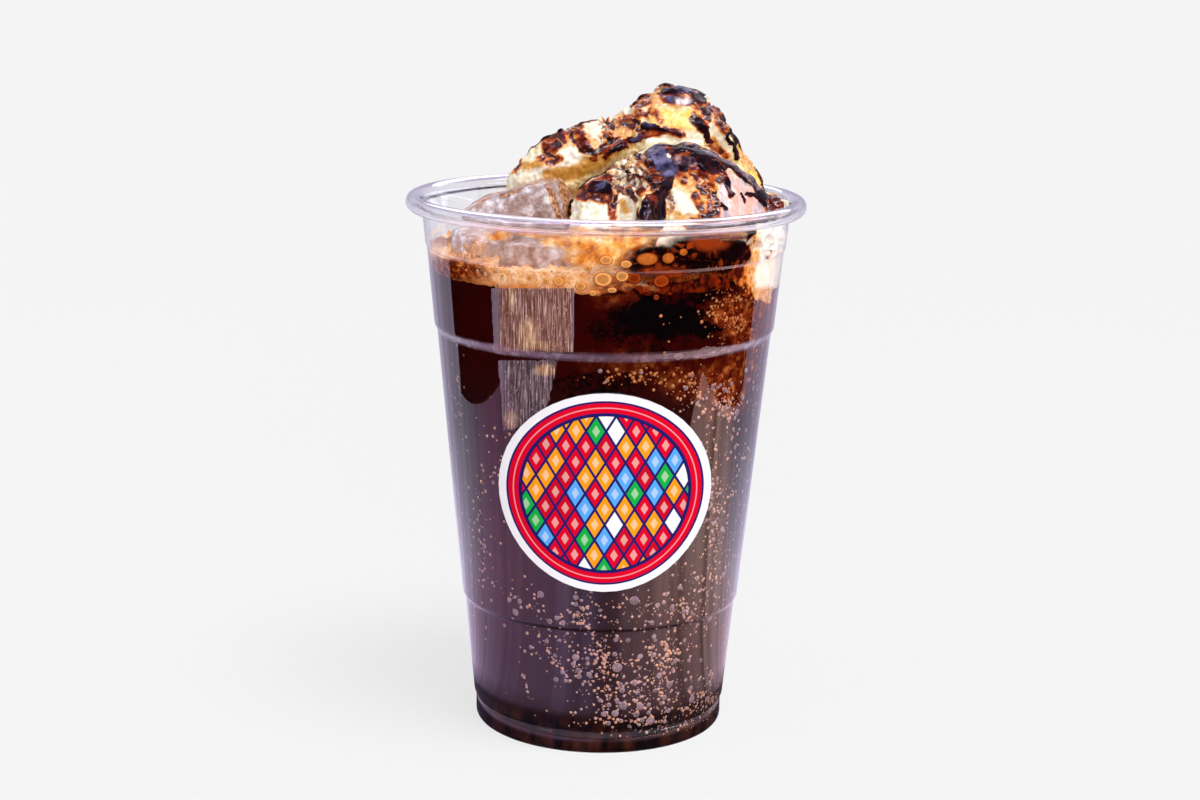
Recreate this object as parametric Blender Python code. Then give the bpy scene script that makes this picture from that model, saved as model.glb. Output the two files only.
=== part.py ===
"""Ice cream float in its clear disposable cup.

A tapered cup with a rolled lip, a stacking ledge and a ringed foot holds a dark fizzy drink under a
layer of foam. Three pieces of ice and two scoops of ice cream with syrup float in it, and an oval
sticker is on the cup's front. Metres, +Z up, the origin at the centre of the cup's base, the front
towards -Y.
"""

import math

import bmesh
import bpy
from mathutils import Matrix, Vector, noise

# Cup: the outer wall widens by TAPER for each metre of height and steps outward at three rings.
CUP_HEIGHT = 0.1296
LIP_RADIUS = 0.0475
LIP_BEAD = 0.0019
LIP_DEPTH = 0.006
WALL = 0.0006
FOOT_TOP = 0.0069
WALL_BASE_RADIUS = 0.0308
TAPER = 0.096
LOWER_RING, LEDGE, COLLAR = 0.0311, 0.0972, 0.1171
RING_STEPS = ((LOWER_RING, 0.0015, 0.00055), (LEDGE, 0.0017, 0.00055), (COLLAR, 0.0012, 0.0002))
# Foot: a bevelled lower edge, a straight side and a shallow groove under the wall.
FOOT_RADIUS = 0.0303
FOOT_BEVEL, FOOT_BEVEL_LOW, FOOT_BEVEL_HIGH = 0.0005, 0.0007, 0.0022
GROOVE, GROOVE_LOW, GROOVE_HIGH = 0.00035, 0.0050, 0.0060
FOOT_REST = (0.0244, 0.0288)
FLOOR_RADIUS, FLOOR_RAISE = 0.0219, 0.003
FACETS = 60
SHARP_ANGLE = math.radians(40)

# Contents: touching solids keep GAP between their meshes.
GAP = 0.0003
DRINK_LEVEL = 0.1125
FOAM_LEVEL = 0.1172
FOAM_CREST = (0.014, -0.036, 0.0036, 0.017)
FOAM_RINGS = 5
FOAM_RIPPLE, FOAM_RIPPLE_SIZE = 0.0005, 0.006
SKIN = 0.00045
PRESSED_BELOW = 0.1336

# Sticker: an oval seen from the front, which lies round the wall.
LABEL_CENTRE = (0.0008, 0.0658)
LABEL_HALF = (0.0246, 0.0239)
LABEL_THICKNESS = 0.00025
LABEL_MARGIN = 0.003
LABEL_FACETS = 48

# Ice: centre, half sizes and turns in degrees about X, Y and Z.
ICE = {
    "ice_tall": ((-0.0189, -0.0035, 0.1195), (0.0128, 0.0092, 0.0118), (3, -18, -15)),
    "ice_front": ((-0.0136, -0.0308, 0.1103), (0.0100, 0.0072, 0.0124), (-5, 2, -23)),
    "ice_left": ((-0.0292, -0.0198, 0.1186), (0.0060, 0.0044, 0.0050), (6, 9, -56)),
}
ICE_CUTS = 3
ICE_ROUNDING = 7
ICE_WOBBLE, ICE_WAVES, ICE_APART = 0.0005, 1.3, 500

# Ice cream: each scoop is a blend of lobes, given as centre, half sizes and turn about Y in degrees.
FRONT_LOBES = (
    ((0.0160, -0.0105, 0.1190), (0.0250, 0.0205, 0.0238), 0),
    ((0.0005, -0.0110, 0.1240), (0.0105, 0.0120, 0.0115), 0),
    ((-0.0005, -0.0225, 0.1205), (0.0095, 0.0085, 0.0078), 0),
    ((0.0150, -0.0240, 0.1200), (0.0125, 0.0108, 0.0080), 0),
    ((0.0300, -0.0190, 0.1180), (0.0120, 0.0120, 0.0110), 0),
    ((0.0335, -0.0060, 0.1175), (0.0120, 0.0130, 0.0100), 0),
)
BACK_LOBES = (
    ((0.0180, 0.0165, 0.1240), (0.0215, 0.0160, 0.0220), 0),
    ((0.0160, 0.0150, 0.1390), (0.0146, 0.0130, 0.0156), 0),
    ((-0.0080, 0.0150, 0.1346), (0.0195, 0.0120, 0.0094), -28),
    ((-0.0148, 0.0140, 0.1310), (0.0096, 0.0095, 0.0078), -10),
    ((-0.0010, 0.0170, 0.1220), (0.0140, 0.0120, 0.0130), 0),
    ((0.0395, 0.0085, 0.1262), (0.0056, 0.0050, 0.0036), 0),
)
# Thick syrup: the radius of a strand and the points that it runs over.
FRONT_SYRUP = (
    (0.0019, ((0.0050, -0.0210, 0.1380), (0.0140, -0.0170, 0.1420), (0.0240, -0.0170, 0.1400),
              (0.0320, -0.0160, 0.1350), (0.0375, -0.0140, 0.1290))),
    (0.0024, ((0.0110, -0.0250, 0.1370), (0.0085, -0.0300, 0.1320), (0.0085, -0.0345, 0.1260))),
)
BACK_SYRUP = (
    (0.0020, ((0.0090, 0.0110, 0.1505), (0.0165, 0.0100, 0.1520), (0.0235, 0.0090, 0.1500))),
    (0.0016, ((0.0265, 0.0060, 0.1465), (0.0305, 0.0060, 0.1410), (0.0335, 0.0050, 0.1350))),
)
STRAND_STEPS = 5
BALL_DETAIL = 3
VOXEL = 0.0021
SMOOTHING = 2
SCOOP_FACES = 1750

# Crags: lumps with cracks between them over a broad swell, from CRAG_START up.
CRAG_DEPTH = 0.0017
LUMP_SIZE, SWELL_SIZE = 0.0062, 0.0089
LUMP, SWELL, SINK = 1.2, 0.5, 0.5
CRAG_START, CRAG_FULL = 0.1185, 0.1235

# Materials: name, colour, roughness and the share of light that passes through.
CLEAR_PLASTIC = ("clear_plastic", (0.95, 0.96, 0.98), 0.05, 1.0)
LABEL_PAPER = ("label_paper", (0.75, 0.1, 0.14), 0.4, 0.0)
DARK_DRINK = ("dark_drink", (0.055, 0.022, 0.014), 0.15, 0.0)
TAN_FOAM = ("tan_foam", (0.62, 0.30, 0.10), 0.6, 0.0)
CLEAR_ICE = ("clear_ice", (0.86, 0.84, 0.85), 0.08, 0.8)
VANILLA_AND_SYRUP = ("vanilla_and_syrup", (0.78, 0.58, 0.36), 0.35, 0.0)


def clear_scene():
    for obj in list(bpy.data.objects):
        bpy.data.objects.remove(obj)


def principled(name, colour, roughness, transmission):
    material = bpy.data.materials.new(name)
    material.use_nodes = True
    shader = material.node_tree.nodes["Principled BSDF"]
    shader.inputs["Base Color"].default_value = (*colour, 1.0)
    shader.inputs["Roughness"].default_value = roughness
    shader.inputs["Transmission Weight"].default_value = transmission
    return material


def add_object(name, mesh, material=None):
    obj = bpy.data.objects.new(name, mesh)
    bpy.context.collection.objects.link(obj)
    if material:
        finish(obj, material)
    return obj


def finish(obj, material):
    obj.data.materials.clear()
    obj.data.materials.append(material)
    obj.data.shade_smooth()
    obj.data.set_sharp_from_angle(angle=SHARP_ANGLE)


def mesh_from_bmesh(name, bm):
    bmesh.ops.recalc_face_normals(bm, faces=bm.faces)
    mesh = bpy.data.meshes.new(name)
    bm.to_mesh(mesh)
    bm.free()
    return mesh


def apply_modifiers(obj):
    graph = bpy.context.evaluated_depsgraph_get()
    obj.data = bpy.data.meshes.new_from_object(obj.evaluated_get(graph))
    obj.modifiers.clear()


def add_cutter(name, mesh):
    cutter = add_object(name, mesh)
    cutter.hide_render = True
    cutter.display_type = "WIRE"
    return cutter


def add_boolean(obj, cutter, operation="DIFFERENCE"):
    modifier = obj.modifiers.new(f"{operation.lower()} {cutter.name}", "BOOLEAN")
    modifier.operation = operation
    modifier.object = cutter


def grown_copy(obj):
    """A cutter for obj's cavity: its mesh with each point moved out by SKIN along its normal."""
    mesh = obj.data.copy()
    normals = [vertex.normal.copy() for vertex in mesh.vertices]
    for vertex, normal in zip(mesh.vertices, normals):
        vertex.co += normal * SKIN
    return add_cutter(f"{obj.name} cavity", mesh)


def drop_scraps(mesh):
    """Leaves the largest of the mesh's loose bodies and deletes the others."""
    bm = bmesh.new()
    bm.from_mesh(mesh)
    waiting = set(bm.verts)
    bodies = []
    while waiting:
        body = set()
        edge = [waiting.pop()]
        while edge:
            vertex = edge.pop()
            body.add(vertex)
            near = {link.other_vert(vertex) for link in vertex.link_edges} & waiting
            waiting -= near
            edge.extend(near)
        bodies.append(body)
    largest = max(bodies, key=len)
    bmesh.ops.delete(bm, geom=[vertex for vertex in bm.verts if vertex not in largest], context="VERTS")
    bm.to_mesh(mesh)
    bm.free()


def cut_round(obj, neighbours):
    """Cuts the cavities in which the neighbours sit, and drops what that cuts loose."""
    cavities = [grown_copy(neighbour) for neighbour in neighbours]
    for cavity in cavities:
        add_boolean(obj, cavity)
    apply_modifiers(obj)
    drop_scraps(obj.data)
    for cavity in cavities:
        bpy.data.objects.remove(cavity)


def turned(name, outline):
    """A mesh turned round Z from a closed outline of (radius, height); radius 0 is the axis."""
    bm = bmesh.new()
    rings = []
    for radius, height in outline:
        if radius == 0:
            rings.append([bm.verts.new((0, 0, height))] * FACETS)
            continue
        turns = (math.tau * i / FACETS for i in range(FACETS))
        rings.append([bm.verts.new((radius * math.cos(a), radius * math.sin(a), height)) for a in turns])
    for ring, after in zip(rings, rings[1:] + rings[:1]):
        for i in range(FACETS):
            j = (i + 1) % FACETS
            corners = list(dict.fromkeys((ring[i], ring[j], after[j], after[i])))
            if len(corners) > 2:
                bm.faces.new(corners)
    return mesh_from_bmesh(name, bm)


def wall_radius(height):
    """The outer radius of the cup's wall, from its foot to below its lip."""
    radius = WALL_BASE_RADIUS + TAPER * (height - FOOT_TOP)
    for start, rise, step in RING_STEPS:
        radius += step * min(max((height - start) / rise, 0), 1)
    return radius


def wall_heights(top):
    """The heights at which the wall's outline turns, from the foot up to top."""
    turns = [FOOT_TOP]
    for start, rise, _ in RING_STEPS:
        turns += [start, start + rise]
    return [height for height in turns if height < top] + [top]


def foot_outline(inset):
    """The foot's ringed side, upwards, moved towards the axis by inset."""
    side = FOOT_RADIUS - inset
    return [
        (side - FOOT_BEVEL, FOOT_BEVEL_LOW),
        (side, FOOT_BEVEL_HIGH),
        (side, GROOVE_LOW),
        (side - GROOVE, GROOVE_HIGH),
    ]


def lip_outline():
    """The rolled lip, from its underside over the top to the inside."""
    centre_radius = LIP_RADIUS - LIP_BEAD
    centre_height = CUP_HEIGHT - LIP_BEAD
    angles = [math.radians(turn) for turn in range(-90, 181, 45)]
    return [(centre_radius + LIP_BEAD * math.cos(a), centre_height + LIP_BEAD * math.sin(a)) for a in angles]


def floor_outline(lift, inset):
    """The raised floor and the channel round it, outwards from the axis."""
    rest_in, rest_out = FOOT_REST
    return [
        (0, FLOOR_RAISE + lift),
        (FLOOR_RADIUS, FLOOR_RAISE + lift),
        (rest_in + inset, lift),
        (rest_out - inset, lift),
    ]


def make_cup():
    outside = [(wall_radius(height), height) for height in wall_heights(CUP_HEIGHT - LIP_DEPTH)]
    inside = [(radius - WALL, height) for radius, height in outside]
    foot = foot_outline(0)
    inner_foot = foot_outline(WALL)[1:]
    outline = floor_outline(0, 0) + foot + outside + lip_outline()
    outline += inside[::-1] + inner_foot[::-1] + floor_outline(WALL, WALL / 2)[::-1]
    return add_object("cup", turned("cup", outline), principled(*CLEAR_PLASTIC))


def inside_radius(height, gap=GAP):
    """How far from the axis contents may reach at a height, inside the wall and the lip."""
    return wall_radius(min(height, CUP_HEIGHT)) - WALL - gap


def make_drink():
    lift = WALL + GAP
    side = [(inside_radius(height), height) for height in wall_heights(DRINK_LEVEL)]
    outline = floor_outline(lift, lift) + foot_outline(lift)[1:] + side + [(0, DRINK_LEVEL)]
    return add_object("drink", turned("drink", outline), principled(*DARK_DRINK))


def foam_height(x, y):
    """The foam's uneven top, with a crest against the front of the wall."""
    crest_x, crest_y, rise, reach = FOAM_CREST
    distance = math.hypot(x - crest_x, y - crest_y) / reach
    ripple = noise.noise(Vector((x, y, 0)) / FOAM_RIPPLE_SIZE)
    return FOAM_LEVEL + rise * math.exp(-distance**2) + FOAM_RIPPLE * ripple


def make_foam():
    """Rings from the axis outwards on the top, down the side, and back along a flat underside."""
    base = DRINK_LEVEL + GAP
    outline = [(0, FOAM_LEVEL)]
    outline += [(inside_radius(FOAM_LEVEL) * (i + 1) / FOAM_RINGS, FOAM_LEVEL) for i in range(FOAM_RINGS)]
    outline += [(inside_radius(base), base), (0, base)]
    mesh = turned("foam", outline)
    for vertex in mesh.vertices:
        if vertex.co.z > base + GAP:
            vertex.co.z = foam_height(vertex.co.x, vertex.co.y)
    return add_object("foam", mesh, principled(*TAN_FOAM))


def keep_inside(mesh):
    """Presses what would cross the cup's wall flat against it."""
    for vertex in mesh.vertices:
        reach = math.hypot(vertex.co.x, vertex.co.y)
        limit = inside_radius(vertex.co.z)
        if reach > limit and vertex.co.z < PRESSED_BELOW:
            vertex.co.x *= limit / reach
            vertex.co.y *= limit / reach


def make_ice(name, centre, half_sizes, turns, material):
    """A block with soft edges, rounded by the power ICE_ROUNDING and wobbled as melting ice is."""
    bm = bmesh.new()
    bmesh.ops.create_cube(bm, size=2)
    bmesh.ops.subdivide_edges(bm, edges=bm.edges, cuts=ICE_CUTS, use_grid_fill=True)
    rotation = Matrix.Identity(3)
    for axis, degrees in zip("XYZ", turns):
        rotation = Matrix.Rotation(math.radians(degrees), 3, axis) @ rotation
    for vertex in bm.verts:
        direction = vertex.co.copy()
        length = sum(abs(part) ** ICE_ROUNDING for part in direction) ** (1 / ICE_ROUNDING)
        local = Vector(part * half / length for part, half in zip(direction, half_sizes))
        wobble = noise.noise(direction * ICE_WAVES + Vector(centre) * ICE_APART)
        local += direction.normalized() * ICE_WOBBLE * wobble
        vertex.co = Vector(centre) + rotation @ local
    mesh = mesh_from_bmesh(name, bm)
    keep_inside(mesh)
    return add_object(name, mesh, material)


def add_ellipsoid(bm, centre, half_sizes, turn=0.0):
    place = Matrix.Translation(centre) @ Matrix.Rotation(math.radians(turn), 4, "Y")
    place @= Matrix.Diagonal((*half_sizes, 1))
    bmesh.ops.create_icosphere(bm, subdivisions=BALL_DETAIL, radius=1, matrix=place)


def add_strand(bm, radius, points):
    """Balls close enough together to blend into one strand of syrup."""
    for start, end in zip(points, points[1:]):
        for i in range(STRAND_STEPS + 1):
            centre = Vector(start).lerp(Vector(end), i / STRAND_STEPS)
            add_ellipsoid(bm, centre, (radius, radius, radius))


def crag(point):
    """How far the broken surface of a scoop stands out at a point, as a share of CRAG_DEPTH."""
    nearest, second, *_ = noise.voronoi(point / LUMP_SIZE)[0]
    return LUMP * (second - nearest) + SWELL * noise.noise(point / SWELL_SIZE) - SINK


def roughen(mesh):
    """Breaks up the surface above the foam and leaves it smooth below."""
    normals = [vertex.normal.copy() for vertex in mesh.vertices]
    for vertex, normal in zip(mesh.vertices, normals):
        share = min(max((vertex.co.z - CRAG_START) / (CRAG_FULL - CRAG_START), 0), 1)
        vertex.co += normal * CRAG_DEPTH * share * crag(vertex.co)


def make_scoop(name, lobes, strands, material):
    bm = bmesh.new()
    for lobe in lobes:
        add_ellipsoid(bm, *lobe)
    for strand in strands:
        add_strand(bm, *strand)
    scoop = add_object(name, mesh_from_bmesh(name, bm))
    remesh = scoop.modifiers.new("remesh", "REMESH")
    remesh.mode = "VOXEL"
    remesh.voxel_size = VOXEL
    smooth = scoop.modifiers.new("smooth", "SMOOTH")
    smooth.iterations = SMOOTHING
    apply_modifiers(scoop)
    roughen(scoop.data)
    keep_inside(scoop.data)
    decimate = scoop.modifiers.new("decimate", "DECIMATE")
    decimate.ratio = SCOOP_FACES / (2 * len(scoop.data.polygons))
    decimate.use_collapse_triangulate = True
    apply_modifiers(scoop)
    keep_inside(scoop.data)
    finish(scoop, material)
    return scoop


def make_label():
    """The part of a thin shell round the wall that an oval, pushed in from the front, takes out."""
    centre_x, centre_z = LABEL_CENTRE
    half_x, half_z = LABEL_HALF
    reach = half_z + LABEL_MARGIN
    inner = [(wall_radius(height) + GAP, height) for height in (centre_z - reach, centre_z + reach)]
    outer = [(radius + LABEL_THICKNESS, height) for radius, height in inner]
    label = add_object("label", turned("label", [*outer, *inner[::-1]]), principled(*LABEL_PAPER))
    bm = bmesh.new()
    place = Matrix.Translation((centre_x, -LIP_RADIUS, centre_z))
    place @= Matrix.Diagonal((half_x, 1, half_z, 1)) @ Matrix.Rotation(math.pi / 2, 4, "X")
    round_oval = {"segments": LABEL_FACETS, "radius1": 1, "radius2": 1, "depth": LIP_RADIUS}
    bmesh.ops.create_cone(bm, cap_ends=True, matrix=place, **round_oval)
    add_boolean(label, add_cutter("label oval", mesh_from_bmesh("label oval", bm)), "INTERSECT")
    return label


def main():
    clear_scene()
    make_cup()
    make_label()
    drink = make_drink()
    foam = make_foam()
    clear_ice = principled(*CLEAR_ICE)
    cream = principled(*VANILLA_AND_SYRUP)
    ice = [make_ice(name, *block, clear_ice) for name, block in ICE.items()]
    front = make_scoop("ice_cream_front", FRONT_LOBES, FRONT_SYRUP, cream)
    back = make_scoop("ice_cream_back", BACK_LOBES, BACK_SYRUP, cream)
    cut_round(front, ice)
    cut_round(back, [*ice, front])
    for pool in (foam, drink):
        cut_round(pool, [*ice, front, back])


main()
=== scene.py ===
"""Looks of an ice cream float: a clear plastic cup with a sticker holds a dark fizzy drink under foam,
with ice and two scoops of vanilla ice cream with syrup. Metres, +Z up, the front towards -Y."""

import math
import random

import bmesh
import bpy
import numpy as np
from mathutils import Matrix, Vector, noise


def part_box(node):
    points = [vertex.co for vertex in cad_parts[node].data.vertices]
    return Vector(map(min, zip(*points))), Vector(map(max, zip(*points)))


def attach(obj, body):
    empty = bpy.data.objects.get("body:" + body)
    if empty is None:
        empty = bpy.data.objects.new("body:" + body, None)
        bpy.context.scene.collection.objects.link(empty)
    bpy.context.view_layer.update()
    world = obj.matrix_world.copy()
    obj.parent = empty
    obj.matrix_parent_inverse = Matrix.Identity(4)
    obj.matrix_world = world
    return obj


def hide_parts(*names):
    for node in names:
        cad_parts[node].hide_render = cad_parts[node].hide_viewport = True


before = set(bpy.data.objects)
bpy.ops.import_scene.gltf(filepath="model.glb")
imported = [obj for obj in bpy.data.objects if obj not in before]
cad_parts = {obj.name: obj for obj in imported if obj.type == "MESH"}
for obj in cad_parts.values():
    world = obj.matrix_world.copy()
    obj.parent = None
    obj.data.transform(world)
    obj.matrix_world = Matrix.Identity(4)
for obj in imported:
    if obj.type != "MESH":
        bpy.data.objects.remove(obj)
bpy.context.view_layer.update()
BODY = "root"
MM = 0.001

# Camera: where the photo was taken from, and the photo's frame in pixels.
PHOTO_WIDTH, PHOTO_HEIGHT = 1200, 800
CAMERA_AT = Vector((-0.0007, -0.5281, 0.1963))
CAMERA_DOWN, CAMERA_ROLL = math.radians(12.482), math.radians(0.920)
LENS, SENSOR = 66.96, 36.0

# Cup: the outer wall widens by TAPER for each metre of height and steps outward at three rings.
CUP_HEIGHT = 0.1296
LIP_RADIUS = 0.0475
LIP_BEAD = 0.0019
LIP_DEPTH = 0.006
WALL = 0.0006
FOOT_TOP = 0.0069
WALL_BASE_RADIUS = 0.0308
TAPER = 0.096
LOWER_RING, LEDGE, COLLAR = 0.0311, 0.0972, 0.1171
RING_STEPS = ((LOWER_RING, 0.0015, 0.00055), (LEDGE, 0.0017, 0.00055), (COLLAR, 0.0009, 0.0003))
FOOT_RADIUS = 0.0303
GROOVE, GROOVE_LOW, GROOVE_HIGH = 0.00035, 0.0050, 0.0060
FOOT_REST = (0.0244, 0.0288)
FLOOR_RADIUS, FLOOR_RAISE = 0.0219, 0.003
CUP_SEGMENTS = 256
WALL_ROWS, RING_ROWS = 30, 8
LIP_TURN = 15
CURL_END = -140
WAVE_DEPTH, WAVE_WIDTH, WAVE_HEIGHT = 0.00004, 5.0, 0.022
WAVES_BEGIN, WAVES_END = (0.02, 0.03), (0.105, 0.115)

# Contents: each reaches this far into the cup's wall, so that no air gap shows.
DRINK_REACH, FOAM_REACH, PIECE_REACH = 0.00010, 0.00016, 0.00022
DRINK_LEVEL, DRINK_UNDER_FOAM = 0.1125, 0.0012
DRINK_SEGMENTS, DRINK_ROWS = 400, 200
FOAM_BASE, FOAM_LEVEL = 0.1124, 0.1169
FOAM_CREST = (0.014, -0.036, 0.0036, 0.017)
FOAM_SEGMENTS, FOAM_RINGS, FOAM_ROWS = 360, 100, 12


# Geometry

def smooth_step(value):
    value = min(max(value, 0.0), 1.0)
    return value * value * (3 - 2 * value)


def soft_edge(values, low, high):
    """0 below low, 1 above high and smooth between them, for an array."""
    share = np.clip((values - low) / (high - low), 0, 1)
    return share * share * (3 - 2 * share)


def noise_values(points, size, offset=0.0):
    shift = Vector((offset, offset, offset))
    return np.array([noise.noise(Vector(point) / size + shift) for point in points])


def lump_values(points, size):
    """Voronoi lumps of a size: 0 in the cracks between them and about 1 on their tops."""
    values = []
    for point in points:
        nearest, second, *_ = noise.voronoi(Vector(point) / size)[0]
        values.append(second - nearest)
    return np.clip(np.array(values) * 1.6, 0, 1)


def wall_radius(height):
    """The outer radius of the cup's wall, from its foot to below its lip."""
    radius = WALL_BASE_RADIUS + TAPER * (height - FOOT_TOP)
    for start, rise, step in RING_STEPS:
        radius += step * smooth_step((height - start) / rise)
    return radius


def inner_radius(height, reach=0.0):
    """The radius of the wall's inner face at a height, plus how far a piece reaches into the wall."""
    if height < GROOVE_LOW:
        return FOOT_RADIUS - WALL + reach
    if height < FOOT_TOP:
        return FOOT_RADIUS - GROOVE - WALL + reach
    return wall_radius(height) - WALL + reach


def spaced(low, high, count):
    return [low + (high - low) * i / count for i in range(count + 1)]


def wall_heights(top):
    """Heights up the wall, close together where it steps outward."""
    heights = set(spaced(FOOT_TOP, top, WALL_ROWS))
    for start, rise, _ in RING_STEPS:
        heights |= {height for height in spaced(start, start + rise, RING_ROWS) if height < top}
    return sorted(heights)


def camera_axes():
    """The camera's right, up and forward directions."""
    forward = Vector((0, math.cos(CAMERA_DOWN), -math.sin(CAMERA_DOWN)))
    level_up = Vector((0, math.sin(CAMERA_DOWN), math.cos(CAMERA_DOWN)))
    right = math.cos(CAMERA_ROLL) * Vector((1, 0, 0)) + math.sin(CAMERA_ROLL) * level_up
    up = -math.sin(CAMERA_ROLL) * Vector((1, 0, 0)) + math.cos(CAMERA_ROLL) * level_up
    return right, up, forward


RIGHT, UP, FORWARD = camera_axes()
FOCAL = LENS / SENSOR * PHOTO_WIDTH


def photo_ray(x, y):
    return FORWARD + RIGHT * (x - PHOTO_WIDTH / 2) / FOCAL - UP * (y - PHOTO_HEIGHT / 2) / FOCAL


def in_photo(points):
    """The photo's pixel positions of an array of points."""
    offset = np.asarray(points) - np.array(CAMERA_AT)
    depth = offset @ np.array(FORWARD)
    x = PHOTO_WIDTH / 2 + FOCAL * (offset @ np.array(RIGHT)) / depth
    y = PHOTO_HEIGHT / 2 - FOCAL * (offset @ np.array(UP)) / depth
    return np.stack([x, y], axis=1)


def on_wall(x, y, reach=0.0):
    """The point of the wall's inner face that the photo shows at a pixel, or None beside the cup."""
    ray = photo_ray(x, y)
    height = LEDGE
    for _ in range(6):
        radius = inner_radius(height, reach)
        a = ray.x**2 + ray.y**2
        b = CAMERA_AT.x * ray.x + CAMERA_AT.y * ray.y
        c = CAMERA_AT.x**2 + CAMERA_AT.y**2 - radius**2
        if b * b < a * c:
            return None
        distance = (-b - math.sqrt(b * b - a * c)) / a
        height = CAMERA_AT.z + distance * ray.z
    return CAMERA_AT + ray * distance


def linked(name, data):
    """A new object in the scene that holds a mesh, a light or a camera."""
    obj = bpy.data.objects.new(name, data)
    bpy.context.scene.collection.objects.link(obj)
    return obj


def add_object(name, mesh, material, replaced=()):
    """Puts a finished mesh into the scene as a piece of the float."""
    mesh.materials.clear()
    mesh.materials.append(material)
    mesh.shade_smooth()
    obj = linked(name, mesh)
    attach(obj, BODY)
    if replaced:
        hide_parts(*replaced)


def mesh_of(name, points, faces):
    mesh = bpy.data.meshes.new(name)
    mesh.from_pydata([tuple(point) for point in points], [], faces)
    mesh.validate()
    return mesh


def turned(name, outline, segments):
    """A closed mesh turned round Z from an outline of (radius, height); radius 0 is on the axis."""
    points, rings, faces = [], [], []
    for radius, height in outline:
        start = len(points)
        if radius == 0:
            points.append((0, 0, height))
            rings.append([start] * segments)
            continue
        turns = [math.tau * i / segments for i in range(segments)]
        points += [(radius * math.cos(a), radius * math.sin(a), height) for a in turns]
        rings.append(list(range(start, start + segments)))
    for ring, after in zip(rings, rings[1:] + rings[:1]):
        for i in range(segments):
            j = (i + 1) % segments
            corners = tuple(dict.fromkeys((ring[i], ring[j], after[j], after[i])))
            if len(corners) > 2:
                faces.append(corners)
    return mesh_of(name, points, faces)


def points_of(mesh):
    points = np.empty(len(mesh.vertices) * 3)
    mesh.vertices.foreach_get("co", points)
    return points.reshape(-1, 3)


def normals_of(mesh):
    normals = np.empty(len(mesh.vertices) * 3, np.float32)
    mesh.vertex_normals.foreach_get("vector", normals)
    return normals.reshape(-1, 3).astype(float)


def move_points(mesh, points):
    mesh.vertices.foreach_set("co", np.asarray(points, np.float32).ravel())
    mesh.update()


def set_values(mesh, **masks):
    """Gives the mesh masks for its materials, each a number or an array with one for each point."""
    for name, values in masks.items():
        attribute = mesh.attributes.get(name) or mesh.attributes.new(name, "FLOAT", "POINT")
        attribute.data.foreach_set("value", np.full(len(mesh.vertices), values, np.float32))


def applied(obj):
    """The mesh that an object's modifiers make."""
    graph = bpy.context.evaluated_depsgraph_get()
    mesh = bpy.data.meshes.new_from_object(obj.evaluated_get(graph))
    bpy.data.objects.remove(obj)
    return mesh


def fine_copy(node, voxel, smoothing):
    """A copy of a CAD node's mesh with small even faces and its corners softened."""
    obj = linked(f"{node} copy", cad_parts[node].data.copy())
    remesh = obj.modifiers.new("remesh", "REMESH")
    remesh.mode = "VOXEL"
    remesh.voxel_size = voxel
    smooth = obj.modifiers.new("smooth", "SMOOTH")
    smooth.factor = 0.5
    smooth.iterations = smoothing
    return applied(obj)


# Materials

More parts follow.
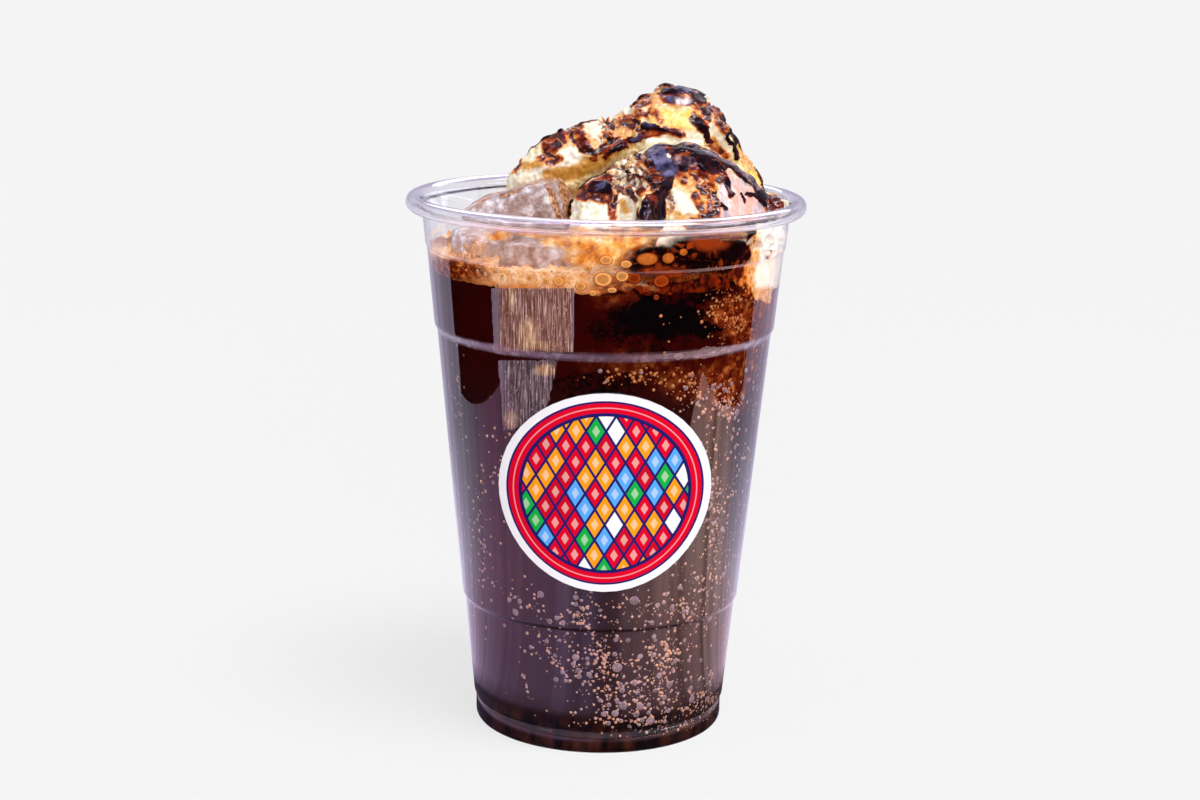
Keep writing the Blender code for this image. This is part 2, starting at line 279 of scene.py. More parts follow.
class Nodes:
    """Builds the node tree of one material. A value is a number, a colour or another node's output."""

    def __init__(self, name):
        self.material = bpy.data.materials.new(name)
        self.material.use_nodes = True
        self.tree = self.material.node_tree
        self.shader = self.tree.nodes["Principled BSDF"]
        self.base = None

    def give(self, socket, value):
        if isinstance(value, bpy.types.NodeSocket):
            self.tree.links.new(value, socket)
        else:
            socket.default_value = value

    def add(self, kind, inputs, **settings):
        node = self.tree.nodes.new(f"ShaderNode{kind}")
        for name, value in settings.items():
            setattr(node, name, value)
        for key, value in inputs.items():
            self.give(node.inputs[key], value)
        return node

    def where(self):
        return self.add("TexCoord", {}).outputs["Object"]

    def along(self, axis):
        """An object coordinate in metres: axis 0 is X, 1 is Y and 2 is Z."""
        return self.add("SeparateXYZ", {0: self.where()}).outputs[axis]

    def place(self, stretch=(1, 1, 1)):
        """Object coordinates in millimetres, divided by stretch."""
        scale = tuple(1 / (MM * part) for part in stretch)
        return self.add("Mapping", {"Vector": self.where(), "Scale": scale}).outputs["Vector"]

    def noise(self, size, detail=2.0, stretch=(1, 1, 1), rough=0.5):
        inputs = {"Vector": self.place(stretch), "Scale": 1 / size, "Detail": detail, "Roughness": rough}
        return self.add("TexNoise", inputs).outputs["Fac"]

    def cells(self, size):
        """How far a place is from the edges between cells of a size, such as bubbles."""
        inputs = {"Vector": self.place(), "Scale": 1 / size}
        return self.add("TexVoronoi", inputs, feature="DISTANCE_TO_EDGE").outputs["Distance"]

    def mask(self, name):
        """A number that the mesh holds at its points."""
        return self.add("Attribute", {}, attribute_name=name).outputs["Fac"]

    def fit(self, value, low, high, to_low=0.0, to_high=1.0):
        inputs = {0: value, 1: low, 2: high, 3: to_low, 4: to_high}
        return self.add("MapRange", inputs).outputs[0]

    def patches(self, size, detail, low, high, to_low=0.0, to_high=1.0, **look):
        """Noise of a size, fitted from low and high to the two other numbers."""
        return self.fit(self.noise(size, detail, **look), low, high, to_low, to_high)

    def net(self, size, grain, reach):
        """Cells of a size whose edges a finer grain shifts by up to reach."""
        return self.math("ADD", self.cells(size), self.patches(grain, 4.0, 0.3, 0.7, -reach, reach))

    def ragged(self, name, grain):
        """A soft mask with its edge broken up by a grain between 0 and 1."""
        mask = self.mask(name)
        return self.fit(self.math("ADD", mask, self.math("MULTIPLY", grain, mask)), 0.62, 0.95)

    def math(self, operation, a, b=0.0):
        return self.add("Math", {0: a, 1: b}, operation=operation).outputs[0]

    def mix(self, share, a, b):
        pair = [(*colour, 1.0) if isinstance(colour, tuple) else colour for colour in (a, b)]
        return self.add("Mix", {0: share, 6: pair[0], 7: pair[1]}, data_type="RGBA").outputs[2]

    def between(self, value, low, high, a, b):
        """A colour that goes from a to b as a value goes from low to high."""
        return self.mix(self.fit(value, low, high), a, b)

    def ramp(self, value, stops, interpolation="LINEAR"):
        """The colour for a value among stops of a position and a colour's three numbers."""
        node = self.add("ValToRGB", {"Fac": value})
        node.color_ramp.interpolation = interpolation
        elements = node.color_ramp.elements
        while len(elements) < len(stops):
            elements.new(0.5)
        for element, (position, *colour) in zip(elements, stops):
            element.position = position
            element.color = (*colour, 1.0)
        return node.outputs["Color"]

    def coat(self, cover, colour):
        """Lays a colour over the base colour. cover is a share of it, or the name of a mask."""
        share = self.mask(cover) if isinstance(cover, str) else cover
        self.base = self.mix(share, self.base, colour)

    def soak(self, name, grain, weakest, strongest, levels):
        """Lays colours one over another as a mask grows deeper, uneven by a grain."""
        depth = self.math("MULTIPLY", self.mask(name), self.fit(grain, 0.38, 0.62, weakest, strongest))
        for low, high, colour in levels:
            self.coat(self.fit(depth, low, high), colour)

    def bump(self, height, strength, distance):
        inputs = {"Height": height, "Strength": strength, "Distance": distance}
        self.give(self.shader.inputs["Normal"], self.add("Bump", inputs).outputs["Normal"])

    def let_lamps_through(self, tint):
        """Light from lamps passes the clear surface without being bent."""
        shadow = self.add("LightPath", {}).outputs["Is Shadow Ray"]
        clear = self.add("BsdfTransparent", {"Color": (*tint, 1.0)}).outputs[0]
        mixed = self.add("MixShader", {0: shadow, 1: self.shader.outputs[0], 2: clear})
        self.give(self.tree.nodes["Material Output"].inputs["Surface"], mixed.outputs[0])

    def finished(self, **inputs):
        """The material, with its base colour and other inputs given to the shader."""
        for name, value in {"Base_Color": self.base, **inputs}.items():
            self.give(self.shader.inputs[name.replace("_", " ")], value)
        return self.material


def plastic_material():
    nodes = Nodes("clear plastic")
    nodes.base = nodes.mix(nodes.noise(30.0), (0.965, 0.96, 0.985), (0.985, 0.98, 0.995))
    nodes.let_lamps_through((0.96, 0.96, 0.98))
    scuffs = nodes.patches(9.0, 3.0, 0.35, 0.75, 0.012, 0.035)
    return nodes.finished(
        Roughness=scuffs, IOR=1.5, Transmission_Weight=1.0,
        Coat_Weight=0.7, Coat_Roughness=0.02, Coat_IOR=1.5)


def drink_material():
    """Near black, redder above, with a rusty glow, black clouds, painted warm glints in upright streaks at
    the foot and a painted pale highlight on the ledge.
    """
    nodes = Nodes("dark fizzy drink")
    clouds = nodes.noise(7.0, 4.0)
    nodes.base = nodes.mix(clouds, (0.020, 0.0008, 0.0006), (0.036, 0.0012, 0.0008))
    nodes.coat("low", nodes.mix(clouds, (0.010, 0.003, 0.003), (0.030, 0.009, 0.007)))
    nodes.coat("glow", nodes.ramp(nodes.noise(2.2, 5.0, rough=0.65), (
        (0.38, 0.050, 0.003, 0.001), (0.50, 0.15, 0.016, 0.003), (0.60, 0.34, 0.070, 0.012),
        (0.72, 0.70, 0.27, 0.07))))
    # Painted glints: warm upright streaks at the foot.
    columns = nodes.noise(4.0, 2.0, stretch=(0.7, 0.7, 3))
    nodes.coat("foot", nodes.between(columns, 0.42, 0.8, (0.003, 0.001, 0.001), (0.070, 0.018, 0.007)))
    wisps = nodes.patches(1.1, 7.0, 0.3, 0.7, -0.75, 0.75, rough=0.8)
    cloud = nodes.math("ADD", nodes.mask("black"), wisps)
    nodes.coat(nodes.fit(cloud, 0.36, 0.60), (0.002, 0.0008, 0.001))
    # Painted highlight: pale glints along the ledge.
    glints = nodes.noise(2.2, 4.0)
    nodes.coat("ledge", nodes.between(glints, 0.50, 0.70, (0.21, 0.13, 0.17), (0.50, 0.40, 0.48)))
    return nodes.finished(Roughness=0.6, Specular_IOR_Level=0.0)


def foam_material():
    """Pale froth with orange cells, rusty to one side, and soaked by syrup into a dark net to the other."""
    nodes = Nodes("foam")
    large = nodes.fit(nodes.cells(1.5), 0.02, 0.20)
    pale = nodes.between(nodes.noise(2.8, 4.0), 0.35, 0.65, (0.78, 0.35, 0.10), (0.96, 0.72, 0.44))
    cell = nodes.between(nodes.noise(1.6, 3.0), 0.35, 0.65, (0.50, 0.12, 0.016), (0.88, 0.52, 0.20))
    nodes.base = nodes.mix(nodes.math("MULTIPLY", large, 0.5), pale, cell)
    nodes.coat(nodes.fit(nodes.cells(0.6), 0.02, 0.28, 0.0, 0.12), (0.40, 0.09, 0.012))
    nodes.coat(nodes.patches(0.8, 3.0, 0.62, 0.70, 0.0, 0.7), (0.24, 0.05, 0.012))
    nodes.coat("edge", (0.60, 0.17, 0.02))
    nodes.coat("rust", nodes.ramp(nodes.noise(0.9, 5.0, stretch=(2.0, 2.0, 1.0), rough=0.65), (
        (0.36, 0.045, 0.003, 0.001), (0.52, 0.20, 0.020, 0.003), (0.64, 0.72, 0.22, 0.03))))
    glow = nodes.between(nodes.noise(2.4, 5.0), 0.38, 0.66, (0.034, 0.002, 0.001), (0.26, 0.022, 0.002))
    soaked = nodes.between(nodes.net(3.2, 1.5, 0.1), 0.0, 0.10, (0.010, 0.001, 0.001), glow)
    nodes.coat(nodes.ragged("dark", nodes.noise(2.2, 5.0)), soaked)
    nodes.bump(large, 0.35, 0.0003)
    return nodes.finished(
        Roughness=0.7, Specular_IOR_Level=0.0, Subsurface_Weight=0.15, Subsurface_Radius=(1.0, 0.45, 0.2),
        Subsurface_Scale=0.001)


def foam_film_material():
    """Thin foam left on the wall: orange to peach, clear where it thins out, dark where syrup soaks it."""
    nodes = Nodes("foam film")
    nodes.base = nodes.ramp(nodes.noise(3.0, 4.0, rough=0.6), (
        (0.39, 0.58, 0.16, 0.015), (0.52, 0.86, 0.38, 0.07), (0.62, 0.95, 0.60, 0.25),
        (0.72, 0.98, 0.82, 0.58)))
    glow = nodes.between(nodes.noise(4.5, 3.0), 0.46, 0.64, (0.008, 0.001, 0.001), (0.28, 0.034, 0.003))
    soaked = nodes.between(nodes.net(2.0, 1.0, 0.16), 0.12, 0.24, (0.004, 0.001, 0.001), glow)
    soaked = nodes.mix(nodes.mask("lit"), soaked, (0.28, 0.034, 0.005))
    nodes.coat(nodes.fit(nodes.mask("soaked"), 0.05, 0.30), (0.26, 0.045, 0.004))
    nodes.coat(nodes.ragged("soaked", nodes.noise(1.6, 5.0)), soaked)
    breaks = nodes.patches(1.6, 5.0, 0.3, 0.6, 0.35, 1.0, rough=0.6)
    breaks = nodes.math("MAXIMUM", breaks, nodes.mask("soaked"))
    cover = nodes.math("MULTIPLY", nodes.mask("film"), breaks)
    return nodes.finished(Roughness=0.6, Specular_IOR_Level=0.0, Alpha=cover)


def cream_material():
    """Vanilla ice cream with painted mustard shade, painted shade in its crevices, brown soaked patches, nut
    crumbs with painted shade between them and a thin mauve syrup film with a painted sheen.
    """
    nodes = Nodes("vanilla ice cream")
    fine = nodes.noise(0.9, 6.0, rough=0.65)
    broad = nodes.noise(2.6, 4.0)
    nodes.base = nodes.between(broad, 0.35, 0.65, (0.93, 0.75, 0.39), (0.99, 0.90, 0.66))
    # Painted shade: orange brown in the crevices between the crags.
    nodes.coat("hollow", nodes.between(fine, 0.4, 0.6, (0.72, 0.42, 0.10), (0.92, 0.74, 0.38)))
    nodes.coat("white", nodes.between(broad, 0.4, 0.6, (0.92, 0.82, 0.60), (0.97, 0.93, 0.82)))
    # Painted shade: mustard on the scoops' shaded undersides.
    nodes.coat("shade", nodes.between(fine, 0.35, 0.65, (0.45, 0.17, 0.010), (0.77, 0.40, 0.065)))
    nodes.coat("bright", nodes.between(broad, 0.4, 0.6, (0.90, 0.56, 0.06), (0.97, 0.80, 0.27)))
    specks = nodes.patches(1.2, 6.0, 0.42, 0.34, rough=0.7)
    specks = nodes.math("MULTIPLY", specks, nodes.fit(nodes.mask("white"), 0, 1, 0.6, 0.1))
    nodes.coat(specks, (0.36, 0.12, 0.02))
    nut = nodes.ramp(nodes.noise(2.2, 2.0), (
        (0.36, 0.62, 0.40, 0.16), (0.45, 0.92, 0.76, 0.50), (0.54, 1.0, 0.95, 0.84),
        (0.64, 0.72, 0.28, 0.06)))
    # Nut crumbs, with painted dark shade in the gaps between them.
    grit = nodes.math("ADD", nodes.mask("grit"), fine)
    nodes.coat(nodes.ragged("crumbs", fine), nodes.between(grit, 0.60, 0.90, (0.13, 0.022, 0.008), nut))
    nodes.coat("amber", nodes.between(fine, 0.35, 0.65, (0.60, 0.17, 0.02), (0.98, 0.66, 0.26)))
    soft = [nodes.math("MULTIPLY", nodes.noise(2.0, 3.0), 0.75), nodes.math("MULTIPLY", fine, 0.25)]
    soft = nodes.math("ADD", *soft)
    nodes.soak("glaze", soft, 0.5, 1.35, (
        (0.10, 0.45, (0.83, 0.34, 0.06)), (0.38, 0.70, (0.46, 0.075, 0.010)),
        (0.66, 1.00, (0.075, 0.006, 0.003))))
    # A thin mauve syrup film with a painted sheen of pale pink and lavender grey streaks.
    nodes.coat("mauve", nodes.ramp(nodes.noise(3.5, 3.0, stretch=(0.6, 1, 1.8)), (
        (0.38, 0.83, 0.43, 0.34), (0.50, 0.87, 0.57, 0.52), (0.58, 0.63, 0.48, 0.52),
        (0.68, 0.42, 0.34, 0.42))))
    nodes.soak("dark", soft, 0.7, 1.3, (
        (0.10, 0.35, (0.74, 0.25, 0.04)), (0.32, 0.60, (0.28, 0.034, 0.006)),
        (0.60, 0.90, (0.022, 0.003, 0.003))))
    wet = nodes.math("MAXIMUM", nodes.mask("glaze"), nodes.mask("dark"))
    wet = nodes.math("MAXIMUM", nodes.mask("mauve"), wet)
    nodes.bump(nodes.noise(0.7, 4.0, rough=0.6), 0.35, 0.0003)
    return nodes.finished(
        Roughness=nodes.fit(wet, 0.0, 1.0, 0.5, 0.18), IOR=1.4,
        Specular_IOR_Level=nodes.fit(nodes.mask("on_wall"), 0.0, 1.0, 0.5, 0.0),
        Subsurface_Weight=0.10, Subsurface_Radius=(1.0, 0.6, 0.3), Subsurface_Scale=0.001)


def syrup_material():
    """Near black where it is thick and orange where it thins out, with painted bluish reflections and a
    painted tawny sheen where it shines.
    """
    nodes = Nodes("chocolate syrup")
    streaks = nodes.patches(2.2, 4.0, 0.35, 0.65, 0.22, -0.22, stretch=(1.5, 1, 0.8), rough=0.55)
    nodes.base = nodes.ramp(nodes.math("ADD", nodes.mask("thick"), streaks), (
        (0.12, 0.85, 0.42, 0.12), (0.26, 0.52, 0.12, 0.020), (0.42, 0.20, 0.022, 0.005),
        (0.60, 0.045, 0.005, 0.004), (0.82, 0.007, 0.0015, 0.003)))
    # Painted reflections: bluish violet patches where the thick syrup shines.
    nodes.coat("violet", nodes.ramp(nodes.noise(2.4, 3.0), (
        (0.38, 0.020, 0.014, 0.035), (0.50, 0.075, 0.065, 0.155), (0.62, 0.15, 0.13, 0.27))))
    # Painted sheen: greyish lavender along the syrup's arc, with orange glints.
    nodes.coat("tawny", nodes.ramp(nodes.noise(1.5, 4.0), (
        (0.40, 0.040, 0.014, 0.020), (0.50, 0.14, 0.080, 0.110), (0.59, 0.28, 0.18, 0.225),
        (0.67, 0.70, 0.26, 0.10))))
    nodes.bump(nodes.noise(1.6, 3.0), 0.25, 0.0004)
    return nodes.finished(
        Roughness=0.10, IOR=1.16, Specular_Tint=(0.9, 0.75, 1.0, 1.0),
        Specular_IOR_Level=nodes.fit(nodes.mask("on_wall"), 0.0, 1.0, 0.5, 0.0))


def ice_material():
    """Clear greyish ice with pale frost inside and golden brown along its cracks, with pale painted glints
    on them.
    """
    nodes = Nodes("ice")
    haze = nodes.noise(3.2, 6.0, rough=0.65)
    fine = nodes.noise(1.0, 5.0, rough=0.7)
    nodes.base = nodes.ramp(haze, (
        (0.38, 0.40, 0.29, 0.26), (0.48, 0.56, 0.46, 0.45), (0.56, 0.74, 0.70, 0.78),
        (0.66, 0.99, 0.99, 1.0)))
    nodes.coat(nodes.fit(fine, 0.56, 0.66, 0.0, 0.6), (1.0, 0.98, 0.98))
    nodes.coat(nodes.fit(fine, 0.46, 0.36, 0.0, 0.75), (0.30, 0.19, 0.16))
    # Cracks go from dark to golden brown, with pale painted glints where the grain is high.
    nodes.coat(nodes.ragged("crack", fine), nodes.ramp(fine, (
        (0.38, 0.09, 0.018, 0.005), (0.50, 0.52, 0.19, 0.045), (0.58, 0.96, 0.70, 0.46))))
    nodes.bump(nodes.noise(1.8, 5.0, rough=0.65), 0.7, 0.0006)
    nodes.let_lamps_through((0.86, 0.82, 0.84))
    clear = nodes.fit(haze, 0.46, 0.66, 0.62, 0.15)
    rough = nodes.patches(1.6, 4.0, 0.35, 0.65, 0.03, 0.22)
    return nodes.finished(IOR=1.31, Transmission_Weight=clear, Roughness=rough)


def sunk_ice_material():
    """Ice behind the wall: upright streaks, golden in places, greyer lower down, clearer above the foam,
    with painted violet highlights along its edges.
    """
    nodes = Nodes("ice in the drink")
    fibre = nodes.noise(1.0, 2.0, stretch=(0.22, 20.0, 7.0), rough=0.6)
    strands = nodes.patches(1.0, 4.0, 0.3, 0.7, -0.09, 0.09, stretch=(0.5, 8.0, 2.0), rough=0.7)
    fibre = nodes.math("ADD", fibre, strands)
    nodes.base = nodes.ramp(fibre, (
        (0.34, 0.060, 0.018, 0.011), (0.48, 0.19, 0.072, 0.050), (0.58, 0.31, 0.150, 0.112),
        (0.68, 0.66, 0.46, 0.38)))
    nodes.coat("cold", nodes.ramp(fibre, (
        (0.34, 0.026, 0.013, 0.018), (0.48, 0.095, 0.052, 0.062), (0.58, 0.19, 0.120, 0.132),
        (0.70, 0.48, 0.36, 0.35))))
    nodes.coat("golden", nodes.ramp(fibre, (
        (0.34, 0.13, 0.045, 0.018), (0.48, 0.40, 0.19, 0.085), (0.64, 0.86, 0.64, 0.42))))
    # Painted highlights: smooth violet strips along the blocks' edges.
    nodes.coat("violet", (0.19, 0.125, 0.165))
    nodes.coat(nodes.patches(0.6, 3.0, 0.62, 0.72, 0.0, 0.5, stretch=(0.6, 0.6, 1.6)), (0.80, 0.66, 0.60))
    nodes.coat("above", nodes.ramp(nodes.noise(3.4, 5.0, rough=0.6), (
        (0.38, 0.28, 0.11, 0.05), (0.48, 0.48, 0.28, 0.20), (0.58, 0.66, 0.50, 0.46),
        (0.70, 0.98, 0.93, 0.94))))
    nodes.bump(fibre, 0.1, 0.0002)
    clear = nodes.fit(nodes.mask("above"), 0.0, 1.0, 0.0, 0.25)
    return nodes.finished(Roughness=0.25, IOR=1.31, Transmission_Weight=clear)


def bubble_material(name, rim, middle, other_middle, halo=None, high_up=None):
    """Bubbles with a rim, a halo inside it and a middle between two colours, or of one high up."""
    nodes = Nodes(name)
    nodes.base = nodes.mix(nodes.mask("tone"), middle, other_middle)
    nodes.coat(nodes.patches(0.7, 3.0, 0.35, 0.7, 0.0, 0.5), rim)
    if high_up:
        nodes.coat(nodes.fit(nodes.along(2), LEDGE - 0.013, LEDGE - 0.005), high_up)
    if halo:
        nodes.coat(nodes.fit(nodes.mask("rim"), 0.50, 0.72), halo)
    nodes.coat(nodes.fit(nodes.mask("rim"), 0.76, 0.96), rim)
    return nodes.finished(Roughness=0.3, Specular_IOR_Level=0.0)


LABEL_RED, LABEL_NAVY = (0.72, 0.003, 0.024), (0.018, 0.012, 0.13)
# Colours of the diamonds, each from a share of all of them on.
DIAMOND_COLOURS = (
    (0.0, *LABEL_RED), (0.22, 0.95, 0.33, 0.01), (0.42, 0.10, 0.38, 0.90), (0.62, 0.01, 0.42, 0.06),
    (0.74, 0.90, 0.88, 0.92), (0.86, 0.62, 0.004, 0.02),
)
# Rings round the diamonds, each from a share of the sticker's radius on; the thin pink ring inside the red
# one is a painted highlight.
LABEL_RINGS = (
    (0.0, 0, 0, 0), (0.775, *LABEL_NAVY), (0.805, *LABEL_RED), (0.85, 0.93, 0.30, 0.34), (0.86, *LABEL_RED),
    (0.905, *LABEL_NAVY), (0.922, 0.90, 0.86, 0.91),
)
DIAMONDS, DIAMOND_HEIGHT = 3.2, 1.7


def paper_material():
    """A generic harlequin pattern inside a red ring with a white border."""
    nodes = Nodes("printed sticker")
    low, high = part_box("label")
    across = nodes.fit(nodes.along(0), low.x, high.x, -1.0, 1.0)
    upward = nodes.fit(nodes.along(2), low.z, high.z, -1.0, 1.0)
    squares = [nodes.math("MULTIPLY", part, part) for part in (across, upward)]
    distance = nodes.math("SQRT", nodes.math("ADD", *squares))
    stretched = nodes.math("MULTIPLY", across, DIAMOND_HEIGHT)
    slants = [nodes.math(sign, stretched, upward) for sign in ("ADD", "SUBTRACT")]
    slants = [nodes.math("MULTIPLY", slant, DIAMONDS) for slant in slants]
    floors = [nodes.math("FLOOR", slant) for slant in slants]
    cell = nodes.add("CombineXYZ", dict(enumerate(floors))).outputs[0]
    pick = nodes.add("TexWhiteNoise", {"Vector": cell}, noise_dimensions="3D").outputs["Value"]
    nodes.base = nodes.ramp(pick, DIAMOND_COLOURS, "CONSTANT")
    halves = [nodes.math("SUBTRACT", nodes.math("FRACT", slant), 0.5) for slant in slants]
    seam = nodes.math("MAXIMUM", *[nodes.math("ABSOLUTE", half) for half in halves])
    nodes.coat(nodes.fit(seam, 0.20, 0.19, 0.0, 0.35), (1.0, 0.95, 0.85))
    nodes.coat(nodes.fit(seam, 0.41, 0.44), LABEL_NAVY)
    outside = nodes.math("GREATER_THAN", distance, LABEL_RINGS[1][0])
    nodes.coat(outside, nodes.ramp(distance, LABEL_RINGS, "CONSTANT"))
    nodes.bump(nodes.noise(0.6, 2.0), 0.05, 0.0001)
    return nodes.finished(Roughness=0.5, Specular_IOR_Level=0.0)


def floor_material():
    nodes = Nodes("studio floor")
    nodes.base = nodes.mix(nodes.noise(400.0), (0.19, 0.19, 0.19), (0.20, 0.20, 0.20))
    return nodes.finished(
        Roughness=0.8, Specular_IOR_Level=0.0,
        Emission_Color=(1.0, 1.0, 1.0, 1.0), Emission_Strength=FLOOR_GLOW)


# Cup

def arc(centre, radius, start, end):
    """Points of an arc of (radius, height) round a centre, in steps of about LIP_TURN degrees."""
    count = max(1, round(abs(end - start) / LIP_TURN))
    turns = [math.radians(value) for value in spaced(start, end, count)]
    return [(centre[0] + radius * math.cos(a), centre[1] + radius * math.sin(a)) for a in turns]


def foot_outline(inset):
    """The foot's floor and side from the axis outwards, moved into the plastic by inset."""
    rest_in, rest_out = FOOT_REST
    side = FOOT_RADIUS - inset
    corner = FOOT_RADIUS - rest_out
    rise = 0.4 * (rest_in - FLOOR_RADIUS)
    return [
        (0, FLOOR_RAISE + inset),
        (FLOOR_RADIUS - rise, FLOOR_RAISE + inset),
        (FLOOR_RADIUS + inset, FLOOR_RAISE - rise / 2 + inset),
        (rest_in - rise / 2 + inset, rise / 4 + inset),
        (rest_in + rise / 2 + inset, inset),
        *arc((rest_out - inset, corner + inset), corner, -90, 0),
        (side, GROOVE_LOW - GROOVE),
        (side - GROOVE / 2, GROOVE_LOW),
        (side - GROOVE, GROOVE_LOW + GROOVE),
        (side - GROOVE, GROOVE_HIGH),
    ]


def make_cup(material):
    heights = wall_heights(CUP_HEIGHT - LIP_DEPTH)
    outside = [(wall_radius(height), height) for height in heights]
    inside = [(wall_radius(height) - WALL, height) for height in heights]
    centre = (LIP_RADIUS - LIP_BEAD, CUP_HEIGHT - LIP_BEAD)
    curl = arc(centre, LIP_BEAD - WALL, 180, CURL_END) + arc(centre, LIP_BEAD, CURL_END, 180)
    outline = foot_outline(0) + outside + curl + inside[::-1] + foot_outline(WALL)[::-1]
    mesh = turned("cup_shell", outline, CUP_SEGMENTS)
    points = points_of(mesh)
    reach = np.hypot(points[:, 0], points[:, 1])
    turn = np.arctan2(points[:, 1], points[:, 0])
    heights = points[:, 2]
    where = np.stack([np.cos(turn) * WAVE_WIDTH, np.sin(turn) * WAVE_WIDTH, heights / WAVE_HEIGHT], axis=1)
    share = soft_edge(heights, *WAVES_BEGIN) * (1 - soft_edge(heights, *WAVES_END))
    wave = WAVE_DEPTH * noise_values(where, 1.0) * share
    points[:, :2] *= (1 + wave / np.maximum(reach, LIP_BEAD))[:, None]
    move_points(mesh, points)
    add_object("cup_shell", mesh, material, ["cup"])


# Drink

# Noises that shift a painted edge across and down, and how it wobbles: a reach in pixels and a size.
WOBBLE_OFFSETS = (11.0, 23.0)
DRINK_WOBBLE, FOAM_WOBBLE, ICE_WOBBLE, FILM_WOBBLE = (9, 0.004), (7, 0.003), (3, 0.003), (4, 0.004)
MARK_WOBBLES = ((2.2, 0.0032), (1.8, 0.0012))
# A soft oval fades out between these shares of its size.
OVAL_EDGE = (0.35, 1.15)


def wobbled(points, *waves):
    """Photo positions of points, moved about so that painted edges come out uneven."""
    pixels = in_photo(points)
    for reach, size in waves:
        shift = [noise_values(points, size, offset) for offset in WOBBLE_OFFSETS]
        pixels = pixels + reach * np.stack(shift, axis=1)
    return pixels


def spots(pixels, marks):
    """The strongest of soft oval marks, each (x, y, half width, half height, strength) in the photo."""
    total = np.zeros(len(pixels))
    for x, y, half_width, half_height, strength in marks:
        away = np.hypot((pixels[:, 0] - x) / half_width, (pixels[:, 1] - y) / half_height)
        total = np.maximum(total, strength * (1 - soft_edge(away, *OVAL_EDGE)))
    return total


DRINK_GLOW = (
    (735, 318, 40, 26, 1.0), (724, 385, 30, 36, 0.9), (626, 300, 40, 14, 0.5), (690, 378, 40, 26, 0.45),
    (640, 362, 70, 16, 0.35), (745, 340, 20, 40, 0.8), (770, 300, 24, 14, 1.0),
)
DRINK_BLACK = (
    (658, 318, 60, 26, 1.2), (650, 290, 22, 22, 1.0), (692, 330, 40, 14, 1.0), (612, 330, 30, 22, 0.6),
    (700, 294, 34, 12, 0.8), (600, 385, 60, 22, 0.5), (650, 346, 60, 10, 0.4),
)
# Painted marks appear between these two depths in front of the cup's axis.
DRINK_FADE, FOAM_FADE = (-0.004, 0.012), (0.0, 0.012)
# The drink turns from brown to red between these heights, and the painted warm glints reach this far up from
# the foot.
BROWN_TO_RED = (0.074, 0.098)
FOOT_GLINTS_REACH = 0.003
# A painted pale highlight on the ledge: it begins this far under it, is whole up to this far over it, and
# ends there.
LEDGE_LIGHT = (0.0004, 0.0012, 0.0020)


def make_drink(material):
    top = DRINK_LEVEL + DRINK_UNDER_FOAM
    side = [(inner_radius(height, DRINK_REACH), height) for height in spaced(FOOT_TOP, top, DRINK_ROWS)]
    outline = foot_outline(WALL - DRINK_REACH) + side + [(0, top)]
    mesh = turned("drink_body", outline, DRINK_SEGMENTS)
    points = points_of(mesh)
    heights = points[:, 2]
    pixels = wobbled(points, DRINK_WOBBLE)
    near = soft_edge(-points[:, 1], *DRINK_FADE)
    # The ledge's painted highlight grows brighter towards the cup's sides.
    across = np.abs(points[:, 0]) / inner_radius(LEDGE)
    under, over, end = LEDGE_LIGHT
    lit = soft_edge(heights, LEDGE - under, LEDGE) * (1 - soft_edge(heights, LEDGE + over, LEDGE + end))
    set_values(
        mesh, low=1 - soft_edge(heights, *BROWN_TO_RED),
        foot=1 - soft_edge(heights, FOOT_TOP, FOOT_TOP + FOOT_GLINTS_REACH),
        ledge=lit * (0.45 + 0.55 * across**2),
        glow=near * spots(pixels, DRINK_GLOW), black=near * spots(pixels, DRINK_BLACK))
    add_object("drink_body", mesh, material, ["drink"])


# Foam

def foam_height(points):
    """The foam's uneven top, with a crest against the front of the wall."""
    crest_x, crest_y, rise, reach = FOAM_CREST
    distance = np.hypot(points[:, 0] - crest_x, points[:, 1] - crest_y) / reach
    swell = SWELL_HEIGHT * noise_values(flattened(points), SWELL_SIZE)
    return FOAM_LEVEL + rise * np.exp(-distance**2) + swell


def flattened(points):
    return points * np.array([1, 1, 0])


FOAM_DARK = (
    (694, 274, 70, 36, 1.0), (735, 268, 34, 40, 1.0), (640, 300, 60, 16, 1.0), (700, 250, 60, 30, 1.0),
)
FOAM_RUST = ((452, 270, 50, 18, 1.0), (622, 284, 36, 22, 0.9), (636, 272, 24, 24, 0.9))
SWELL_HEIGHT, SWELL_SIZE = 0.0005, 0.006
DOME_HEIGHT, DOME_SIZE, FROTH_HEIGHT, FROTH_SIZE = 0.0011, 0.0026, 0.0004, 0.0011
# The foam has no domes this close to the wall.
FOAM_RIM = 0.0005
# Waves of the foam's lower edge round the wall: depths, and sizes as shares of the radius.
FOAM_SAG = ((0.0005, 0.33), (0.0006, 0.05))


